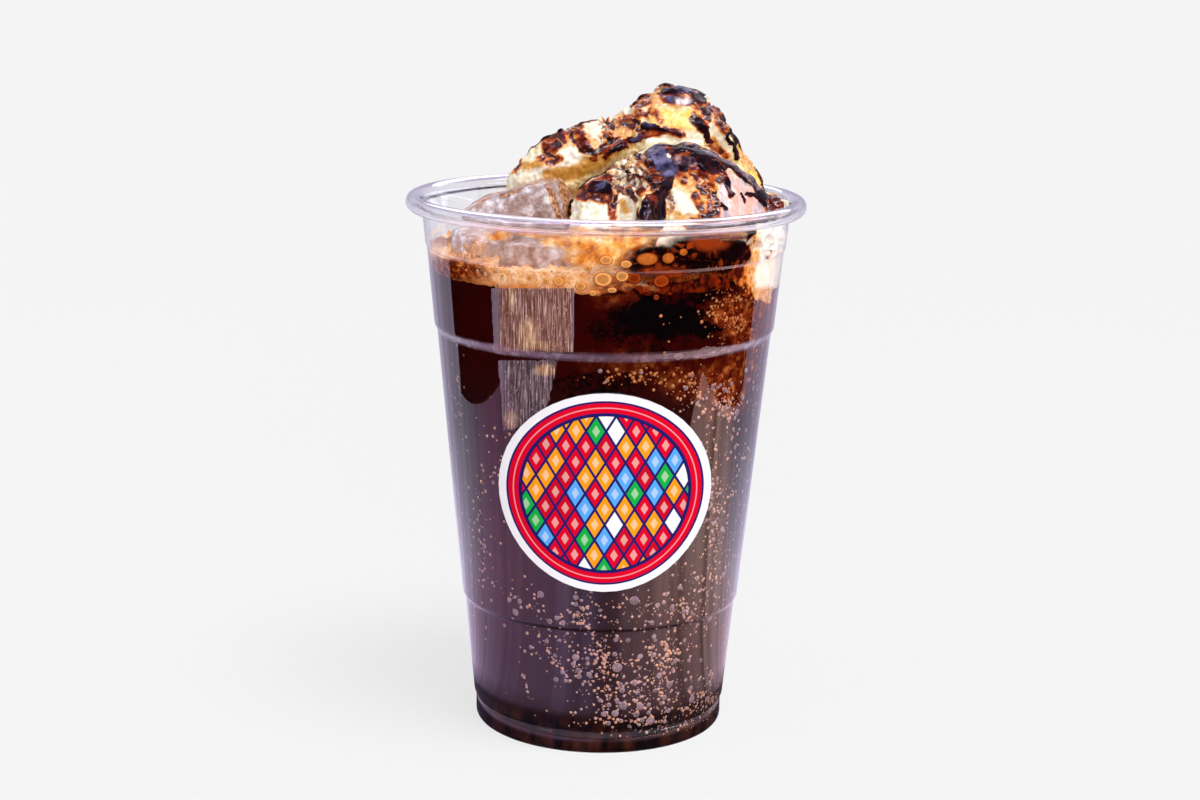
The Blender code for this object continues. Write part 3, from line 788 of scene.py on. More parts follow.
def make_foam(material):
    top_radius = inner_radius(FOAM_LEVEL, FOAM_REACH)
    outline = [(top_radius * i / FOAM_RINGS, FOAM_LEVEL) for i in range(FOAM_RINGS + 1)]
    side = spaced(FOAM_LEVEL, FOAM_BASE, FOAM_ROWS)[1:]
    outline += [(inner_radius(height, FOAM_REACH), height) for height in side]
    outline += [(top_radius * 0.9, FOAM_BASE), (0, FOAM_BASE)]
    mesh = turned("foam_layer", outline, FOAM_SEGMENTS)
    points = points_of(mesh)
    reach = np.hypot(points[:, 0], points[:, 1])
    share = np.clip((points[:, 2] - FOAM_BASE) / (FOAM_LEVEL - FOAM_BASE), 0, 1)
    domes = DOME_HEIGHT * lump_values(flattened(points), DOME_SIZE)
    domes += FROTH_HEIGHT * lump_values(points, FROTH_SIZE)
    rise = foam_height(points) - FOAM_LEVEL + domes * (reach < top_radius - FOAM_RIM)
    turn = np.arctan2(points[:, 1], points[:, 0])
    round_wall = np.stack([np.cos(turn), np.sin(turn), 0 * turn], axis=1)
    sag = sum(depth * noise_values(round_wall, size) for depth, size in FOAM_SAG)
    points[:, 2] += share * rise + (1 - share) * sag
    rim = reach > top_radius - 1e-6
    limit = np.array([inner_radius(height, FOAM_REACH) for height in points[rim, 2]])
    points[rim, :2] *= (limit / reach[rim])[:, None]
    move_points(mesh, points)
    pixels = wobbled(points, FOAM_WOBBLE)
    near = soft_edge(-points[:, 1], *FOAM_FADE)
    behind = soft_edge(noise_values(points, 0.011, 3.0), 0.05, 0.35)
    set_values(
        mesh, dark=near * spots(pixels, FOAM_DARK), edge=0.8 * (1 - soft_edge(share, 0.05, 0.45)),
        rust=np.maximum(near * spots(pixels, FOAM_RUST), 0.8 * behind * (1 - near)))
    add_object("foam_layer", mesh, material, ["foam"])


# Ice

# What is nearer to the wall than PRESS_WITHIN is pressed to it.
PRESS_WITHIN = 0.0006
# Ice looks clearer above these heights than in the drink.
ABOVE_DRINK = (0.1125, 0.1145)
# Cracks as brush strokes in the photo: a half width and then x and y of each point.
ICE_CRACKS = (
    (2.0, 546, 178, 551, 194, 556, 206, 558, 218), (1.2, 478, 200, 500, 188, 544, 180),
    (1.5, 444, 246, 462, 256, 486, 262), (2.0, 466, 244, 474, 254, 482, 264),
    (1.5, 460, 262, 470, 250, 476, 240), (1.5, 452, 228, 446, 244), (3.5, 562, 186, 567, 200, 570, 218),
    (1.0, 540, 178, 556, 179, 572, 186), (1.0, 500, 196, 520, 190),
)

CRACK_EDGE = 2.5
# Dents in the ice, as sizes and how much of each.
ICE_DENTS = ((0.006, 1.0), (0.0025, 0.5))
ICE_SMOOTHING = 4


def stroke(pixels, path, width, soft):
    """1 on a brush stroke of a half width along a path in the photo, fading to 0 over soft pixels."""
    nearest = np.full(len(pixels), np.inf)
    for start, end in zip(path, path[1:]):
        along = end - start
        share = np.clip((pixels - start) @ along / max(along @ along, 1e-9), 0, 1)
        nearest = np.minimum(nearest, np.hypot(*(pixels - start - share[:, None] * along).T))
    return 1 - soft_edge(nearest, width, width + soft)


def painted(pixels, strokes, soft):
    total = np.zeros(len(pixels))
    for width, *path in strokes:
        total = np.maximum(total, stroke(pixels, np.reshape(path, (-1, 2)).astype(float), width, soft))
    return total


def press_to_wall(points):
    """Moves what lies against the wall into it by PIECE_REACH, and says which points were moved."""
    reach = np.hypot(points[:, 0], points[:, 1])
    heights = np.minimum(points[:, 2], CUP_HEIGHT - LIP_DEPTH)
    limit = np.array([inner_radius(height, PIECE_REACH) for height in heights])
    pressed = (reach > limit - PIECE_REACH - PRESS_WITHIN) & (points[:, 2] < CUP_HEIGHT - LIP_BEAD)
    points[pressed, :2] *= (limit / np.maximum(reach, MM))[pressed, None]
    return pressed


def make_ice(node, material, voxel, depth):
    mesh = fine_copy(node, voxel, ICE_SMOOTHING)
    points, normals = points_of(mesh), normals_of(mesh)
    dents = sum(share * noise_values(points, size) for size, share in ICE_DENTS)
    points += normals * (depth * dents)[:, None]
    press_to_wall(points)
    move_points(mesh, points)
    set_values(
        mesh, above=soft_edge(points[:, 2], *ABOVE_DRINK),
        crack=painted(wobbled(points, ICE_WOBBLE), ICE_CRACKS, CRACK_EDGE))
    add_object(f"{node}_block", mesh, material, [node])


def wall_patch(name, area, kept, reach, depth, across=1):
    """A closed piece against the wall, over the cells of a grid of the photo's pixels that kept says.
    The area is its left, right, top and bottom, and a pixel holds one row and some columns across."""
    left, right, top, bottom = area
    columns, rows = spaced(left, right, across * (right - left)), spaced(top, bottom, bottom - top)
    points, faces, numbers = [], [], {}

    def corner(column, row, inner):
        key = (column, row, inner)
        if key not in numbers:
            numbers[key] = len(points)
            place = on_wall(columns[column], rows[row], reach)
            inward = 1 - inner * depth / math.hypot(place.x, place.y)
            points.append((place.x * inward, place.y * inward, place.z))
        return numbers[key]

    places = [(i, j) for i in range(len(columns) - 1) for j in range(len(rows) - 1)]
    cells = [(i, j) for i, j in places if kept(columns[i], rows[j])]
    filled = set(cells)
    for i, j in cells:
        square = ((i, j), (i, j + 1), (i + 1, j + 1), (i + 1, j))
        faces.append([corner(*spot, 0) for spot in square])
        faces.append([corner(*spot, 1) for spot in square[::-1]])
        for side, (beside, down) in enumerate(((-1, 0), (0, 1), (1, 0), (0, -1))):
            if (i + beside, j + down) not in filled:
                start, end = square[side], square[(side + 1) % 4]
                faces.append([corner(*end, 0), corner(*start, 0), corner(*start, 1), corner(*end, 1)])
    return mesh_of(name, points, faces)


# Sunk blocks against the wall in the photo: left, right, top and bottom, how much the sides lean inwards,
# how ragged they are, how much the foot rises to the right, and how cold their grey is.
SUNK_BLOCKS = {
    "ice_sunk_upper": ((491, 574, 286, 350), (0.05, -0.01), 0.5, -0.02, 0.0),
    "ice_sunk_lower": ((498, 558, 358, 432), (0.08, -0.22), 1.2, 0.25, 1.0),
}
# Soft ovals on them in the photo where they are golden, and smooth violet strips.
SUNK_GOLDEN = (
    (528, 334, 12, 20, 1.0), (511, 298, 4, 16, 0.9), (538, 345, 20, 6, 0.7), (546, 370, 14, 7, 1.0),
    (511, 420, 8, 12, 0.6),
)
# The violet strips are painted highlights along the blocks' edges.
SUNK_EDGE_HIGHLIGHTS = ((495, 318, 6, 60, 1.0), (573.5, 318, 1.6, 60, 1.0), (501, 372, 4, 20, 1.0))
SUNK_REACH, SUNK_DEPTH, SUNK_MARGIN = PIECE_REACH + 0.00003, 0.005, 3


def make_sunk_ice(name, material):
    (left, right, top, bottom), leans, ragged, rise, cold = SUNK_BLOCKS[name]

    def kept(x, y):
        shift = ragged * noise.noise(Vector((x, y, 0)) / 6)
        start = left + leans[0] * (y - top) + shift
        end = right + leans[1] * (y - top) + shift
        return start < x < end and top + 1.5 + 2 * shift < y < bottom + 2 * shift - rise * (x - left)

    area = (left - SUNK_MARGIN, right + SUNK_MARGIN, top, bottom + SUNK_MARGIN + 1)
    mesh = wall_patch(name, area, kept, SUNK_REACH, SUNK_DEPTH, across=2)
    pixels = in_photo(points_of(mesh))
    golden, violet = spots(pixels, SUNK_GOLDEN), spots(pixels, SUNK_EDGE_HIGHLIGHTS)
    set_values(mesh, above=0, cold=cold, golden=golden, violet=violet)
    add_object(name, mesh, material)


# Scoops

# Marks on the scoops as brush strokes in the photo, for each kind of mark: a half width and then x and y of
# each point.
FRONT_MARKS = {
    "syrup": (
        (3.4, 634, 148, 645, 143, 663, 140, 682, 141, 701, 145, 720, 152, 735, 161, 748, 173, 757, 185,
         764, 198), (1.2, 647, 154, 651, 148, 662, 144, 677, 144), (8, 658, 156, 663, 164, 668, 168),
        (4, 690, 148, 716, 155, 735, 167, 750, 181),
        (1.2, 671, 160, 674, 154, 682, 150, 696, 151, 708, 155), (7, 698, 158, 712, 168),
        (1.5, 716, 156, 736, 170, 747, 182, 753, 186), (5, 669, 174, 664, 188, 659, 197),
        (11, 654, 205, 653, 214, 652, 228), (6, 594, 188, 606, 188), (4, 573, 188, 580, 184),
        (1.0, 721, 167, 725, 175), (2.2, 725, 180, 729, 188, 732, 195), (1.3, 741, 194, 744, 202),
        (1.2, 747, 194, 756, 196), (1.7, 755, 187, 760, 196, 764, 204), (1.1, 721, 205, 726, 209),
        (2.2, 597, 160, 610, 153, 625, 148), (1.2, 628, 172, 640, 176, 650, 180),
        (4.5, 748, 227, 748, 240), (2.6, 742, 227, 756, 223, 768, 219), (9, 690, 254, 738, 250),
        (3, 684, 170, 680, 162),
    ),
    "film": (
        (6, 684, 154, 704, 158, 722, 168), (6, 690, 164, 716, 174), (4, 654, 174, 668, 186),
        (5, 650, 150, 664, 147, 684, 148, 700, 151), (4, 677, 161, 692, 164),
        (3, 742, 172, 755, 186, 762, 198), (3.5, 608, 178, 590, 180, 580, 186), (3, 640, 188, 644, 196),
        (3, 676, 166, 682, 176), (2.5, 708, 172, 714, 188),
    ),
    "dark": (
        (3, 692, 156, 712, 168, 720, 180), (1.3, 706, 168, 713, 188, 718, 214), (2.2, 700, 186, 703, 192),
        (2.2, 705, 215, 716, 211), (3, 654, 226, 652, 240), (1.2, 616, 196, 613, 206),
        (2, 634, 152, 640, 158), (2, 628, 190, 634, 198), (8, 700, 256, 738, 251),
        (2, 612, 158, 630, 154), (1.5, 584, 176, 604, 172), (3, 690, 226, 740, 224),
        (5, 704, 233, 744, 231), (2, 648, 178, 656, 186), (3, 648, 157, 651, 166),
    ),
    "glaze": (
        (5, 570, 190, 588, 193, 606, 194), (5, 734, 262, 737, 282, 745, 300), (2.5, 688, 168, 700, 178),
        (1.5, 678, 172, 686, 180), (4, 704, 170, 710, 188, 714, 204, 716, 218), (3.5, 704, 216, 718, 210),
        (2, 610, 198, 612, 216), (2.5, 580, 182, 592, 176, 606, 174), (2, 656, 190, 657, 195),
        (1.5, 640, 160, 650, 166), (9, 778, 200, 790, 199), (4, 600, 232, 640, 232),
        (4, 690, 224, 744, 222), (1.2, 764, 198, 768, 206), (1.2, 696, 196, 702, 206),
    ),
    "amber": (
        (8, 682, 174, 694, 184), (6, 704, 186, 714, 208), (3, 592, 196, 601, 197),
        (1.5, 664, 206, 666, 212), (5, 698, 238, 732, 236), (3, 744, 258, 746, 284),
        (2.5, 753, 232, 750, 262), (4, 752, 294, 776, 294), (2, 652, 188, 658, 194),
    ),
    # Painted reflections on the syrup: bluish violet patches.
    "violet": ((8, 657, 156, 663, 163, 668, 168), (2, 572, 186, 578, 184), (1, 598, 188, 604, 186)),
    # A thin mauve syrup film over the cream, with a painted sheen.
    "mauve": (
        (5, 727, 176, 726, 212), (8, 738, 186, 740, 210), (8, 752, 197, 754, 210),
        (2, 686, 162, 694, 165),
    ),
    # Painted sheen with orange glints on the syrup's arc.
    "tawny": (
        (3.5, 664, 141, 684, 143, 701, 147, 718, 154, 735, 165, 748, 177, 757, 187),
        (4, 678, 160, 692, 163),
    ),
    "crumbs": (
        (12, 602, 168, 622, 163, 638, 162), (9, 616, 180, 634, 184), (4, 666, 194, 667, 208),
        (6, 612, 172, 642, 176), (7, 784, 200, 774, 203), (4, 652, 186, 658, 196),
    ),
    "white": (
        (9, 572, 212, 602, 212), (7, 624, 204, 626, 214), (12, 682, 202, 694, 208),
        (4, 768, 192, 772, 204), (9, 656, 236, 684, 238), (19, 766, 230, 770, 284),
        (4, 630, 178, 638, 184),
    ),
    "shade": ((1.5, 676, 215, 702, 219), (1.5, 622, 202, 627, 212)),
    "bright": (),
}
BACK_MARKS = {
    "syrup": (
        (1.2, 524, 150, 532, 142, 545, 135, 560, 129, 584, 120, 609, 111, 620, 104, 640, 90.5),
        (1.4, 620, 104, 640, 91, 656, 85, 668, 84, 682, 84, 692, 88, 703, 95), (3.5, 609, 113, 618, 108),
        (2, 523, 147, 527, 146), (1.4, 529, 147, 538, 139), (2.5, 665, 91, 674, 92),
        (3, 680, 90, 690, 92), (2.2, 668, 99, 673, 100), (3.5, 695, 97, 701, 101),
        (3, 645, 125, 657, 127), (1.5, 659, 128, 670, 131, 680, 135), (2.6, 636, 140, 630, 139),
        (2.4, 626, 146, 616, 150, 606, 156), (3, 699, 121, 704, 128), (2.2, 706, 132, 710, 142),
        (1.1, 716, 104, 722, 112, 727, 120, 729, 124), (1.1, 731, 128, 727, 136, 731, 144),
        (1.4, 723, 118, 730, 126, 735, 134, 737, 142, 734, 150, 737, 158),
    ),
    "film": (
        (2, 672, 87, 684, 86, 700, 96), (3, 594, 158, 610, 150, 624, 142), (2, 652, 130, 664, 133),
        (1.5, 700, 118, 708, 128), (2, 716, 108, 726, 120), (3, 576, 132, 586, 146),
        (3, 546, 148, 554, 150), (2.5, 640, 138, 652, 132),
    ),
    "dark": (
        (4, 547, 149, 550, 152), (2.5, 557, 143, 552, 148), (3.5, 574, 134, 580, 142),
        (4.5, 584, 144, 587, 149), (1.2, 604, 121, 612, 124),
        (1.3, 622, 122, 630, 127, 637, 122, 632, 119), (1.2, 606, 136, 611, 141, 616, 137),
        (1.0, 594, 116, 602, 112), (1.1, 566, 127, 572, 124), (2.5, 694, 119, 704, 128),
        (1.5, 594, 152, 606, 146), (1.5, 720, 118, 728, 124), (1.5, 710, 104, 718, 112),
        (2, 704, 108, 708, 118),
    ),
    "glaze": (
        (3, 556, 142, 562, 138), (1, 540, 158, 550, 162, 560, 157), (2.5, 572, 131, 580, 134),
        (4, 636, 101, 646, 97), (5, 666, 95, 684, 97, 702, 104), (2, 694, 106, 706, 104),
        (1.2, 636, 113, 646, 114), (1.0, 606, 134, 618, 138), (1.2, 620, 118, 636, 117),
        (1.2, 640, 130, 662, 132), (1.0, 660, 128, 682, 134), (1.2, 694, 116, 706, 121),
        (1.0, 712, 140, 716, 150, 726, 156), (1, 520, 156, 512, 170), (1, 540, 140, 580, 125),
        (9, 778, 200, 790, 199), (2, 545, 144, 548, 156), (1, 650, 110, 660, 118),
        (1.5, 718, 122, 726, 132),
    ),
    "amber": (
        (6, 648, 98, 664, 93, 680, 97), (3, 550, 147, 570, 139, 592, 141), (2, 700, 108, 710, 116),
        (3, 744, 152, 752, 164), (1.5, 612, 130, 628, 131),
    ),
    # Painted reflections on the syrup: bluish violet patches.
    "violet": (
        (1.8, 680, 90, 688, 91), (1.2, 667, 99, 674, 100), (2, 610, 112, 616, 110),
        (1, 634, 139, 640, 137), (1, 646, 122, 652, 124), (1, 648, 86, 660, 83),
    ),
    # A small pale spot on the peak: a thin film with a painted sheen.
    "mauve": ((1.0, 679, 101, 687, 101),),
    # Painted sheen with orange glints on the syrup at the peak.
    "tawny": ((1.5, 684, 87, 696, 94),),
    "crumbs": ((3, 604, 122, 634, 122), (3, 606, 137, 614, 138)),
    "white": (
        (7, 628, 107, 638, 107), (3, 652, 137, 700, 139), (9, 538, 164, 568, 156),
        (7, 516, 182, 540, 177), (7, 714, 130, 722, 144), (6, 590, 128, 600, 134),
        (5, 710, 100, 716, 112),
    ),
    "shade": (
        (6, 548, 176, 572, 173, 594, 163, 614, 150, 628, 138), (2.5, 526, 166, 540, 163),
        (1.5, 660, 124, 692, 120), (1.2, 656, 112, 690, 128),
    ),
    "bright": ((6, 741, 142, 750, 158, 762, 182), (6, 660, 118, 692, 120)),
}
MARK_EDGES = {
    "syrup": 2.0, "film": 3.5, "dark": 3.5, "glaze": 5.5, "amber": 6.0, "violet": 3.5,
    "mauve": 3.5, "tawny": 1.5, "crumbs": 7.0, "white": 7.0, "shade": 5.0, "bright": 6.0,
}
# Marks where the photo doesn't see: they are higher up than this, and noise between two numbers makes them.
BEHIND_ABOVE = (0.118, 0.126)
BEHIND = {"syrup": (0.16, 0.26), "dark": (0.10, 0.24), "glaze": (0.0, 0.2)}
# Kinds of mark that only the poured skin of syrup shows, and how strong a film of it is.
POURED, FILM_STRENGTH = ("syrup", "film"), 0.52
SCOOP_VOXEL, SCOOP_SMOOTHING = 0.00036, 16
SYRUP_DEPTH, SYRUP_SUNK, SYRUP_THINNEST = 0.0008, 0.0003, 0.15
# Crags: sizes of lumps and how much of each; how deep they are, and crumbs over them.
CRAG_LUMPS = ((0.0042, 0.9), (0.0019, 0.45))
CRAG_GRAIN, CRAG_MIDDLE, CRUMB_SIZE = 0.0011, 0.75, 0.0019
CRAG_DEPTH, CRUMB_DEPTH = 0.00085, 0.00090
CRAGS_ABOVE = (0.1165, 0.121)


def marks_on(points, seen, marks):
    """How strong each kind of mark is at each point: as painted where the photo sees it, or by noise."""
    pixels = wobbled(points, *MARK_WOBBLES)
    behind = noise_values(points, 0.010, 7.0) + 0.5 * noise_values(points, 0.004, 2.0)
    behind *= soft_edge(points[:, 2], *BEHIND_ABOVE)
    by_noise = {kind: soft_edge(behind, *limits) for kind, limits in BEHIND.items()}
    by_noise["crumbs"] = soft_edge(noise_values(points, 0.012, 4.0), 0.2, 0.4)
    values = {}
    for kind, strokes in marks.items():
        drawn = painted(pixels, strokes, MARK_EDGES[kind])
        values[kind] = seen * drawn + (1 - seen) * by_noise.get(kind, 0.0)
    return values


def roughen(mesh, base, normals, values):
    """Raises crags and crumbs on a scoop, less where it is smooth or under syrup."""
    above = soft_edge(base[:, 2], *CRAGS_ABOVE)
    smooth_part = np.maximum(values["mauve"], 0.6 * values["shade"])
    rough = above * (1 - 0.85 * smooth_part) * (1 - 0.9 * np.maximum(values["syrup"], values["film"]))
    crags = sum(share * lump_values(base, size) for size, share in CRAG_LUMPS)
    crags = crags + 0.5 * noise_values(base, CRAG_GRAIN) - CRAG_MIDDLE
    grit = lump_values(base, CRUMB_SIZE)
    raised = CRAG_DEPTH * crags + CRUMB_DEPTH * values["crumbs"] * (grit - 0.5)
    points = base + normals * (rough * raised)[:, None]
    pressed = press_to_wall(points)
    move_points(mesh, points)
    # Painted shade in the crevices between the crags, high up and away from smooth parts and the wall.
    hollow = soft_edge(-crags, 0.05, 0.6) * above * (1 - smooth_part) * ~pressed
    set_values(mesh, hollow=hollow, grit=grit, on_wall=pressed)


def make_scoop(node, name, syrup_name, marks, cream, syrup):
    """Rough ice cream from the CAD solid, and syrup that stands out of it where it was poured."""
    mesh = fine_copy(node, SCOOP_VOXEL, SCOOP_SMOOTHING)
    base, normals = points_of(mesh), normals_of(mesh)
    seen = soft_edge(-(normals @ np.array(FORWARD)), 0.0, 0.25)
    values = marks_on(base, seen, marks)
    set_values(mesh, **{kind: value for kind, value in values.items() if kind not in POURED})
    roughen(mesh, base, normals, values)
    skin = mesh.copy()
    skin.name = syrup_name
    add_object(name, mesh, cream, [node])
    poured = np.maximum(values["syrup"], FILM_STRENGTH * values["film"])
    thick = poured * (0.85 + 0.35 * noise_values(base, 0.005, 9.0))
    points = base + normals * (SYRUP_DEPTH * thick - SYRUP_SUNK)[:, None]
    pressed = press_to_wall(points)
    move_points(skin, points)
    set_values(skin, on_wall=pressed, thick=thick)
    keep_where(skin, thick > SYRUP_THINNEST)
    add_object(syrup_name, skin, syrup)


def keep_where(mesh, kept):
    """Deletes the points that aren't kept."""
    bm = bmesh.new()
    bm.from_mesh(mesh)
    bm.verts.ensure_lookup_table()
    gone = [vertex for vertex, keep in zip(bm.verts, kept) if not keep]
    bmesh.ops.delete(bm, geom=gone, context="VERTS")
    bm.to_mesh(mesh)
    bm.free()


# Ice cream smeared on the wall beside the front scoop, as soft ovals in the photo.
CREAM_SMEAR = ((773, 274, 10, 30, 1.0), (768, 292, 14, 14, 1.0))
SMEAR_AREA, SMEAR_DEPTH = (750, 779, 246, 308), 0.0006


def make_cream_smear(material):

    def kept(x, y):
        return on_wall(x + 1, y + 1, FOAM_REACH) and spots(np.array([[x, y]]), CREAM_SMEAR)[0] > 0.3

    mesh = wall_patch("cream_smear", SMEAR_AREA, kept, FOAM_REACH, SMEAR_DEPTH)
    pixels = in_photo(points_of(mesh))
    strength = spots(pixels, CREAM_SMEAR)
    low_down = soft_edge(pixels[:, 1], 282, 300)
    set_values(
        mesh, white=1, on_wall=1, amber=np.maximum(1 - soft_edge(strength, 0.45, 0.7), low_down),
        glaze=1 - soft_edge(strength, 0.30, 0.62))
    add_object("cream_smear", mesh, material)


# Foam film

# Thin foam left on the wall above the drink, as soft ovals in the photo, where syrup soaks it, and where
# light shows through the syrup.
FOAM_FILM = (
    (498, 235, 15, 6, 1.0), (530, 233, 18, 5, 1.0), (558, 240, 20, 9, 0.7), (584, 242, 26, 18, 0.9),
    (612, 248, 26, 20, 1.0), (636, 242, 18, 16, 1.0), (590, 258, 28, 9, 0.9), (478, 248, 9, 10, 0.4),
    (654, 232, 10, 6, 0.9), (720, 234, 30, 6, 0.7), (664, 262, 44, 21, 1.8), (706, 254, 54, 21, 1.8),
)
FILM_SOAKED = ((664, 262, 46, 22, 1.3), (706, 254, 60, 24, 1.3))
FILM_LIT = ((709, 244, 24, 9, 0.9), (664, 272, 30, 8, 0.7))
FILM_AREA, FILM_DEPTH = (455, 750, 222, 282), 0.0003


def make_foam_film(material):

    def kept(x, y):
        return spots(np.array([[x, y]]), FOAM_FILM)[0] > 0.02

    mesh = wall_patch("foam_film", FILM_AREA, kept, DRINK_REACH, FILM_DEPTH)
    pixels = wobbled(points_of(mesh), FILM_WOBBLE)
    film = np.minimum(spots(pixels, FOAM_FILM), 1)
    set_values(mesh, film=film, soaked=spots(pixels, FILM_SOAKED), lit=spots(pixels, FILM_LIT))
    add_object("foam_film", mesh, material)


# Bubbles

# The size of the photo's pixels at the wall, and how far the largest bubbles stand out of it.
PIXEL = 0.49 / FOCAL
BUBBLE_DEPTH = 0.0003
# How far each kind stands out, as a share of its half width.
SPECK_FLATNESS, DISC_FLATNESS, WALL_BUBBLE_FLATNESS = 0.5, 0.4, 0.3


def ball(subdivisions):
    bm = bmesh.new()
    bmesh.ops.create_icosphere(bm, subdivisions=subdivisions, radius=1)
    points = np.array([vertex.co for vertex in bm.verts])
    faces = np.array([[vertex.index for vertex in face.verts] for face in bm.faces])
    bm.free()
    return points, faces


def bubbles_on_wall(name, bubbles, flatness, material, detail):
    """Flattened balls against the wall, joined in one mesh, from each one's place and half sizes."""
    unit, corners = ball(detail)
    draw = random.Random(11)
    points, faces, tones = [], [], []
    for place, (half_width, half_height) in bubbles:
        outward = Vector((place.x, place.y, 0)).normalized()
        across = Vector((-outward.y, outward.x, 0))
        depth = min(half_width * flatness, BUBBLE_DEPTH)
        axes = np.array([across * half_width, Vector((0, 0, half_height)), outward * depth])
        faces += [tuple(face + len(points) * len(unit)) for face in corners]
        points.append(unit @ axes + np.array(place))
        tones.append(np.full(len(unit), draw.random()))
    mesh = mesh_of(name, np.concatenate(points), faces)
    rim = np.hypot(unit[:, 0], unit[:, 1])
    set_values(mesh, rim=np.tile(rim, len(bubbles)), tone=np.concatenate(tones))
    add_object(name, mesh, material)


# Gas on the wall, in the photo: centre x, y, spread x, y and how many.
GAS_CLUSTERS = (
    (600, 655, 26, 22, 90), (650, 696, 46, 26, 110), (625, 690, 40, 30, 90), (668, 655, 22, 26, 110),
    (700, 700, 18, 20, 120), (640, 610, 44, 14, 80), (690, 600, 24, 30, 110), (584, 615, 14, 18, 60),
    (520, 605, 26, 22, 40), (548, 640, 20, 20, 40), (480, 520, 12, 60, 70), (745, 480, 14, 60, 110),
    (726, 420, 22, 40, 90), (715, 560, 22, 50, 120), (758, 380, 8, 40, 60), (690, 390, 30, 22, 70),
    (735, 325, 24, 16, 110), (500, 460, 14, 40, 30), (460, 400, 8, 40, 40), (640, 378, 50, 10, 50),
    (650, 722, 60, 8, 120), (740, 294, 26, 12, 120), (725, 400, 12, 18, 90), (660, 322, 50, 22, 8),
    (716, 500, 18, 50, 150), (600, 690, 50, 30, 90), (664, 664, 50, 50, 120), (470, 580, 18, 50, 60),
)
# Strings of gas in the photo: from x, y to x, y and how many.
GAS_STRINGS = (
    (575, 595, 607, 663, 40), (604, 649, 606, 722, 40), (679, 595, 690, 620, 24),
    (710, 470, 716, 620, 60), (708, 663, 712, 713, 34), (521, 663, 531, 699, 14),
    (484, 540, 485, 591, 18), (546, 648, 572, 684, 34), (668, 632, 660, 700, 36),
    (560, 615, 566, 640, 14), (600, 370, 668, 384, 24), (700, 400, 690, 372, 20),
    (730, 420, 716, 404, 20), (708, 312, 740, 322, 30), (694, 706, 722, 690, 24),
    (640, 664, 636, 720, 30),
)
# Larger bubbles in the photo: x, y and radius in pixels.
GAS_DISCS = (
    (541, 594, 4), (516, 612, 4), (510, 599, 3), (520, 601, 3), (550, 621, 3), (547, 641, 2.5),
    (634, 600, 5), (617, 667, 5.5), (634, 682, 3.5), (659, 675, 3.5), (669, 684, 4), (690, 688, 3),
    (691, 699, 4), (650, 720, 5), (640, 706, 4), (623, 705, 5), (615, 713, 4), (576, 657, 4),
    (579, 676, 3), (589, 674, 3), (709, 618, 4), (636, 714, 3.5), (664, 697, 3), (655, 690, 2.5),
    (600, 610, 2), (576, 604, 2.5), (736, 412, 4), (741, 396, 3), (752, 388, 3), (484, 470, 2),
    (458, 345, 2), (712, 352, 3), (678, 355, 5), (738, 470, 2.5), (730, 452, 2), (745, 430, 2.5),
    (745, 370, 3), (748, 380, 2.5), (712, 388, 2.5), (706, 398, 2), (718, 414, 2.5), (707, 426, 2),
    (734, 447, 2.5), (712, 498, 2), (706, 520, 2.5), (712, 532, 2), (734, 556, 2.5), (722, 574, 3),
    (700, 590, 2), (672, 606, 2.5), (628, 640, 2.5), (605, 640, 2), (640, 656, 3), (655, 640, 2),
    (675, 660, 3), (700, 660, 2.5), (622, 690, 3), (600, 700, 2.5), (668, 710, 3), (684, 640, 2.5),
    (560, 640, 2), (555, 655, 2), (492, 600, 2), (505, 625, 2.5),
)
# How far bubbles stray: as a share of a cluster's spread, and in pixels from a string.
GAS_SPREAD, STRING_SPREAD = 0.6, 1.6
GAS_SIZES, DISC_SIZES, DISC_SIZES_ELSEWHERE = (0.00012, 0.00052), (0.00034, 0.00066), (0.0003, 0.0007)
GAS_ELSEWHERE, DISCS_ELSEWHERE = 900, 120
# The sides and the back of the wall in degrees, and a power that puts more bubbles low down.
TURNS_ELSEWHERE, LOW_DOWN = (-20, 200), 1.5
# One disc is drawn for each DISC_EACH specks, and no gas is lower than GAS_LOWEST.
DISC_EACH, GAS_LOWEST = 20, 0.003


def gas_pixels(draw):
    pixels = []
    for x, y, wide, high, count in GAS_CLUSTERS:
        spread = GAS_SPREAD * wide, GAS_SPREAD * high
        pixels += [(draw.gauss(x, spread[0]), draw.gauss(y, spread[1])) for _ in range(count)]
    for x, y, end_x, end_y, count in GAS_STRINGS:
        for _ in range(count):
            share = draw.random()
            ends = (x, end_x), (y, end_y)
            pixels.append([a + share * (b - a) + draw.gauss(0, STRING_SPREAD) for a, b in ends])
    return pixels


def gas_elsewhere(draw, count, sizes):
    """Bubbles on the sides and the back of the wall, more of them low down."""
    bubbles = []
    for _ in range(count):
        turn = math.radians(draw.uniform(*TURNS_ELSEWHERE))
        height = FOOT_TOP + (DRINK_LEVEL - FOOT_TOP) * draw.random() ** LOW_DOWN
        reach = inner_radius(height, DRINK_REACH)
        place = Vector((reach * math.cos(turn), reach * math.sin(turn), height))
        bubbles.append((place, (draw.uniform(*sizes),) * 2))
    return bubbles


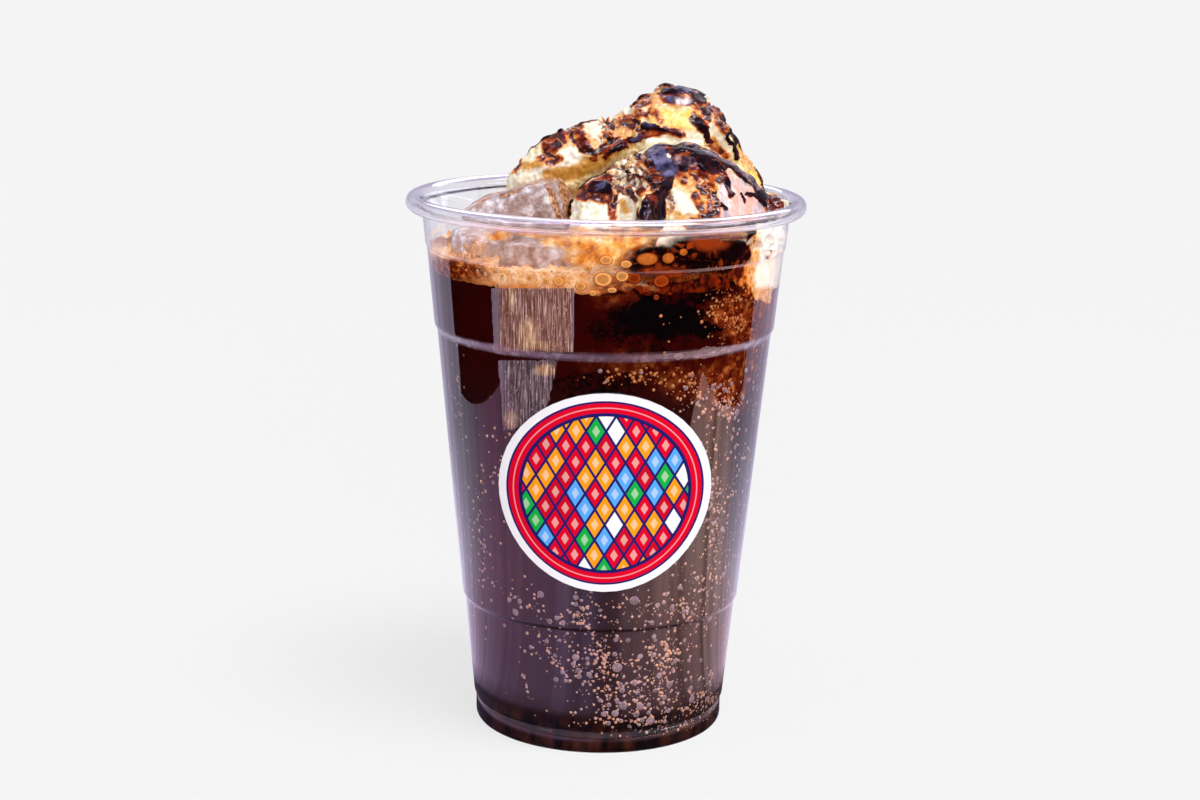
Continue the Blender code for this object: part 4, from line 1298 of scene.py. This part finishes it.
def make_gas(specks, discs):
    draw = random.Random(7)
    places = [on_wall(x, y, DRINK_REACH) for x, y in gas_pixels(draw)]
    least, most = GAS_SIZES
    sized = [(place, (least + (most - least) * draw.random() ** 2,) * 2) for place in places]
    small = [(place, size) for place, size in sized if place and GAS_LOWEST < place.z < DRINK_LEVEL]
    large = [(on_wall(x, y, DRINK_REACH), (radius * PIXEL,) * 2) for x, y, radius in GAS_DISCS]
    some = [place for place in places[::DISC_EACH] if place and GAS_LOWEST < place.z < LEDGE]
    large += [(place, (draw.uniform(*DISC_SIZES),) * 2) for place in some]
    small += gas_elsewhere(draw, GAS_ELSEWHERE, GAS_SIZES)
    large += gas_elsewhere(draw, DISCS_ELSEWHERE, DISC_SIZES_ELSEWHERE)
    bubbles_on_wall("gas_specks", small, SPECK_FLATNESS, specks, detail=1)
    bubbles_on_wall("gas_bubbles", large, DISC_FLATNESS, discs, detail=2)


# Bubbles of the foam and in the syrup against the wall, in the photo: x, y and half sizes in pixels.
WALL_BUBBLES = {
    "foam_rings": (
        (603, 279, 10, 8), (606, 260, 7, 5), (559, 281, 6, 5.5), (581, 286, 6, 4.5), (622, 276, 7, 6),
        (546, 281, 3.5, 3.5), (588, 268, 4, 3), (626, 264, 6, 4), (612, 290, 5, 3), (593, 293, 4, 3),
        (530, 278, 3, 3),
    ),
    "foam_beads": (
        (503, 277, 4, 4), (514, 280, 2.5, 2.5), (523, 281, 3.5, 3), (486, 274, 2, 2), (494, 279, 2, 2),
        (537, 279, 2, 2.5), (569, 289, 2.5, 2.5), (478, 271, 2, 2), (467, 270, 2, 1), (531, 271, 2, 2),
        (540, 287, 2, 2), (552, 271, 2, 2), (510, 271, 1.5, 1.5), (519, 273, 1.5, 1.5),
        (548, 288, 1.5, 1.5), (497, 270, 1.5, 1.5), (565, 272, 2, 1.5),
    ),
    "syrup_cells": ((647, 259, 12, 7), (668, 258, 7, 6), (683, 252, 5, 4)),
    "dim_cells": (
        (634, 278, 8, 6), (647, 271, 3.5, 3), (661, 281, 9, 7), (646, 289, 4, 3), (656, 297, 3, 3),
    ),
}
# Their materials: a name, and the colours of the rim, of two middles and of a halo inside the rim.
WALL_BUBBLE_LOOKS = {
    "foam_rings": (
        "foam ring", (0.30, 0.070, 0.008), (0.42, 0.18, 0.045), (0.62, 0.29, 0.08), (0.80, 0.40, 0.11)),
    "foam_beads": ("foam bead", (1.0, 0.82, 0.50), (0.20, 0.07, 0.03), (0.62, 0.26, 0.06)),
    "syrup_cells": (
        "syrup cell", (0.045, 0.004, 0.001), (0.62, 0.19, 0.030), (0.50, 0.13, 0.018), (0.44, 0.105, 0.014)),
    "dim_cells": (
        "dim cell", (0.030, 0.003, 0.001), (0.18, 0.018, 0.002), (0.28, 0.034, 0.004), (0.34, 0.052, 0.006)),
}


def make_wall_bubbles(name):
    seen = WALL_BUBBLES[name]
    bubbles = [(on_wall(x, y, FOAM_REACH), (across * PIXEL, up * PIXEL)) for x, y, across, up in seen]
    material = bubble_material(*WALL_BUBBLE_LOOKS[name])
    bubbles_on_wall(name, bubbles, WALL_BUBBLE_FLATNESS, material, detail=3)


# Studio

FLOOR_HALF = 12.0
FLOOR_GLOW = 0.70
# The white sheet's front edge and half width; black cards lie beyond it between two directions.
SHEET_FRONT, SHEET_SIDE = 0.11, 0.26
CARDS_END = 2.5
CARDS_FROM, CARDS_TO, CARD_STEP = -116, 112, 4
# Violet sheet: its colour from left to right in front of the cup, and behind it, where it has changed
# between two depths.
SHEET_HALF = 0.26
SHEET_TURNS = (-0.02, 0.08)
SHEET_FRONT_COLOURS = (
    (0.0, 1.02, 0.5, 0.92), (0.3, 0.98, 0.5, 0.88), (0.49, 0.66, 0.5, 0.92), (0.56, 0.98, 0.6, 0.74),
    (0.64, 1.42, 0.84, 0.84), (0.76, 2.05, 1.32, 1.2), (0.95, 2.7, 1.65, 1.45),
)
SHEET_BACK_COLOUR = (0.95, 0.85, 1.15)
# How bright the sheet is by its distance from the cup's axis, as shares of SHEET_REACH.
SHEET_REACH, SHEET_BRIGHTNESS = 0.30, ((0.13, 0.08), (0.18, 0.80), (0.42, 1.0), (0.62, 0.84), (0.90, 0.60))
# Wedges of it are darker, or brighter where the depth is below 0: direction, half width and depth.
SHEET_WEDGES = (
    (6.1, 8.5, 0.6), (83.0, 2.0, 0.5), (-26.0, 4.0, -0.35), (-14.0, 2.5, 0.25), (44.0, 5.0, -0.3),
    (60.0, 3.0, 0.35),
)
# The studio's colour as a backdrop, as light on matt surfaces and in reflections.
BACKDROP, SKY, SKY_IN_GLOSS = (0.88, 0.88, 0.89), (0.46, 0.46, 0.47), (0.50, 0.46, 0.62)
SUN_POWER, SUN_SPREAD, SUN_DIRECTION = 2.0, math.radians(32), (-0.35, 0.35, -1)
# Lamps that don't light matt surfaces: place, size, power and colour.
BOXES = {
    "left box": ((-0.55, -0.35, 0.5), (0.35, 0.35), 1.2, (0.80, 0.78, 1.0)),
    "right box": ((0.6, -0.2, 0.45), (0.3, 0.5), 1.5, (0.93, 0.86, 1.0)),
    "back box": ((0.1, 0.6, 0.55), (0.8, 0.3), 1.5, (0.88, 0.88, 1.0)),
    "top box": ((-0.15, -0.25, 0.7), (0.35, 0.25), 1.2, (0.55, 0.45, 1.0)),
    "spark": ((-0.05, -0.40, 0.75), (0.16, 0.16), 5.0, (1.0, 0.98, 1.0)),
    "second spark": ((0.35, -0.25, 0.70), (0.14, 0.14), 3.0, (1.0, 0.96, 0.94)),
}
# A lamp that reflections don't show.
FRONT_FILL = ((0.1, -1.6, 0.5), (0.8, 0.8), 8.0, (1.0, 0.98, 0.97))
LAMPS_AIM = (0, 0, 0.1)


def square_mesh(name, height):
    """A square as large as the floor."""
    corners = ((-1, -1), (1, -1), (1, 1), (-1, 1))
    return mesh_of(name, [(x * FLOOR_HALF, y * FLOOR_HALF, height) for x, y in corners], [(0, 1, 2, 3)])


def make_floor():
    mesh = square_mesh("studio_floor", 0)
    mesh.materials.append(floor_material())
    floor = linked("studio_floor", mesh)


def stage_card(mesh, material):
    """Puts a card by the cup that only reflections show."""
    mesh.materials.append(material)
    card = linked(mesh.name, mesh)
    card.visible_camera = card.visible_diffuse = card.visible_shadow = card.visible_volume_scatter = False
    card.visible_transmission = False


def make_black_cards():
    points, faces = [], []
    for degrees in range(CARDS_FROM, CARDS_TO + 1, CARD_STEP):
        across, forward = math.sin(math.radians(degrees)), math.cos(math.radians(degrees))
        near = SHEET_SIDE / max(abs(across), 1e-6)
        if forward > 0:
            near = min(near, SHEET_FRONT / forward)
        points += [(across * reach, -forward * reach, MM) for reach in (near, CARDS_END)]
        if len(points) > 2:
            last = len(points) - 1
            faces.append((last - 3, last - 2, last, last - 1))
    nodes = Nodes("black card")
    material = nodes.finished(Base_Color=(0.004, 0.003, 0.004, 1.0), Roughness=0.9, Specular_IOR_Level=0.0)
    stage_card(mesh_of("black_cards", points, faces), material)


def make_violet_sheet():
    nodes = Nodes("violet sheet")
    across = nodes.fit(nodes.along(0), -SHEET_HALF, SHEET_HALF)
    behind = nodes.fit(nodes.along(1), *SHEET_TURNS)
    colour = nodes.mix(behind, nodes.ramp(across, SHEET_FRONT_COLOURS), SHEET_BACK_COLOUR)
    away = nodes.add("VectorMath", {0: nodes.where()}, operation="LENGTH").outputs["Value"]
    stops = [(position, value, value, value) for position, value in SHEET_BRIGHTNESS]
    brightness = nodes.ramp(nodes.math("DIVIDE", away, SHEET_REACH), stops)
    direction = nodes.math("ARCTAN2", nodes.along(0), nodes.math("MULTIPLY", nodes.along(1), -1.0))
    for degrees, half_width, depth in SHEET_WEDGES:
        beside = nodes.math("ABSOLUTE", nodes.math("SUBTRACT", direction, math.radians(degrees)))
        edge = math.radians(half_width)
        wedge = nodes.fit(beside, 0.6 * edge, 1.3 * edge, 1 - depth, 1.0)
        brightness = nodes.math("MULTIPLY", brightness, wedge)
    turns = nodes.math("MULTIPLY", direction, 9.0)
    streaks = nodes.add("TexNoise", {"W": turns, "Scale": 1.0}, noise_dimensions="1D").outputs["Fac"]
    brightness = nodes.math("MULTIPLY", brightness, nodes.fit(streaks, 0.3, 0.7, 0.82, 1.12))
    material = nodes.finished(
        Base_Color=(0.0, 0.0, 0.0, 1.0), Specular_IOR_Level=0.0, Emission_Color=colour,
        Emission_Strength=brightness)
    stage_card(square_mesh("violet_sheet", MM / 2), material)


def make_world():
    """A pale studio all round, dimmer on matt surfaces and violet in reflections."""
    world = bpy.data.worlds.new("studio")
    bpy.context.scene.world = world
    world.use_nodes = True
    nodes, links = world.node_tree.nodes, world.node_tree.links
    rays = nodes.new("ShaderNodeLightPath")
    backdrop = nodes.new("ShaderNodeRGB")
    backdrop.outputs[0].default_value = (*BACKDROP, 1.0)
    colour = backdrop.outputs[0]
    for ray, other in (("Is Diffuse Ray", SKY), ("Is Glossy Ray", SKY_IN_GLOSS)):
        mix = nodes.new("ShaderNodeMix")
        mix.data_type = "RGBA"
        mix.inputs[7].default_value = (*other, 1.0)
        links.new(rays.outputs[ray], mix.inputs[0])
        links.new(colour, mix.inputs[6])
        colour = mix.outputs[2]
    links.new(colour, nodes["Background"].inputs["Color"])


def aim(obj, direction):
    obj.rotation_euler = Vector(direction).to_track_quat("-Z", "Y").to_euler()


def add_area_light(name, place, size, power, colour):
    light = bpy.data.lights.new(name, "AREA")
    light.shape = "RECTANGLE"
    light.size, light.size_y = size
    light.energy = power
    light.color = colour
    obj = linked(name, light)
    obj.location = place
    aim(obj, Vector(LAMPS_AIM) - Vector(place))
    return obj


def make_light():
    sun = bpy.data.lights.new("overhead softbox", "SUN")
    sun.energy = SUN_POWER
    sun.angle = SUN_SPREAD
    aim(linked("overhead softbox", sun), SUN_DIRECTION)
    for name, look in BOXES.items():
        add_area_light(name, *look).visible_diffuse = False
    add_area_light("front fill", *FRONT_FILL).visible_glossy = False


def make_camera():
    camera = bpy.data.cameras.new("camera")
    camera.lens = LENS
    camera.sensor_width = SENSOR
    camera.sensor_fit = "HORIZONTAL"
    camera.clip_start = 0.01
    obj = linked("camera", camera)
    matrix = obj.matrix_world.copy()
    for column, axis in enumerate((RIGHT, UP, -FORWARD, CAMERA_AT)):
        for row in range(3):
            matrix[row][column] = axis[row]
    obj.matrix_world = matrix
    bpy.context.scene.camera = obj


def main():
    make_camera()
    make_world()
    make_light()
    make_floor()
    make_black_cards()
    make_violet_sheet()
    make_cup(plastic_material())
    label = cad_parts["label"].data
    label.materials.clear()
    label.materials.append(paper_material())
    make_drink(drink_material())
    make_foam(foam_material())
    make_foam_film(foam_film_material())
    make_ice("ice_tall", ice_material(), voxel=0.0007, depth=0.0004)
    make_ice("ice_left", ice_material(), voxel=0.0004, depth=0.0003)
    sunk_ice = sunk_ice_material()
    make_ice("ice_front", sunk_ice, voxel=0.0005, depth=0.0003)
    for name in SUNK_BLOCKS:
        make_sunk_ice(name, sunk_ice)
    cream, syrup = cream_material(), syrup_material()
    make_scoop("ice_cream_front", "scoop_front", "syrup_front", FRONT_MARKS, cream, syrup)
    make_scoop("ice_cream_back", "scoop_back", "syrup_back", BACK_MARKS, cream, syrup)
    make_cream_smear(cream)
    specks = bubble_material(
        "gas specks", (0.42, 0.20, 0.14), (0.80, 0.40, 0.20), (0.56, 0.38, 0.38), high_up=(0.55, 0.19, 0.05))
    # Gas bubbles: dark middles with a pale rim, a painted highlight round each edge.
    discs = bubble_material("gas bubbles", (0.50, 0.35, 0.37), (0.13, 0.08, 0.10), (0.28, 0.18, 0.20))
    make_gas(specks, discs)
    for name in WALL_BUBBLES:
        make_wall_bubbles(name)
    bpy.context.scene.view_settings.view_transform = "Standard"


main()
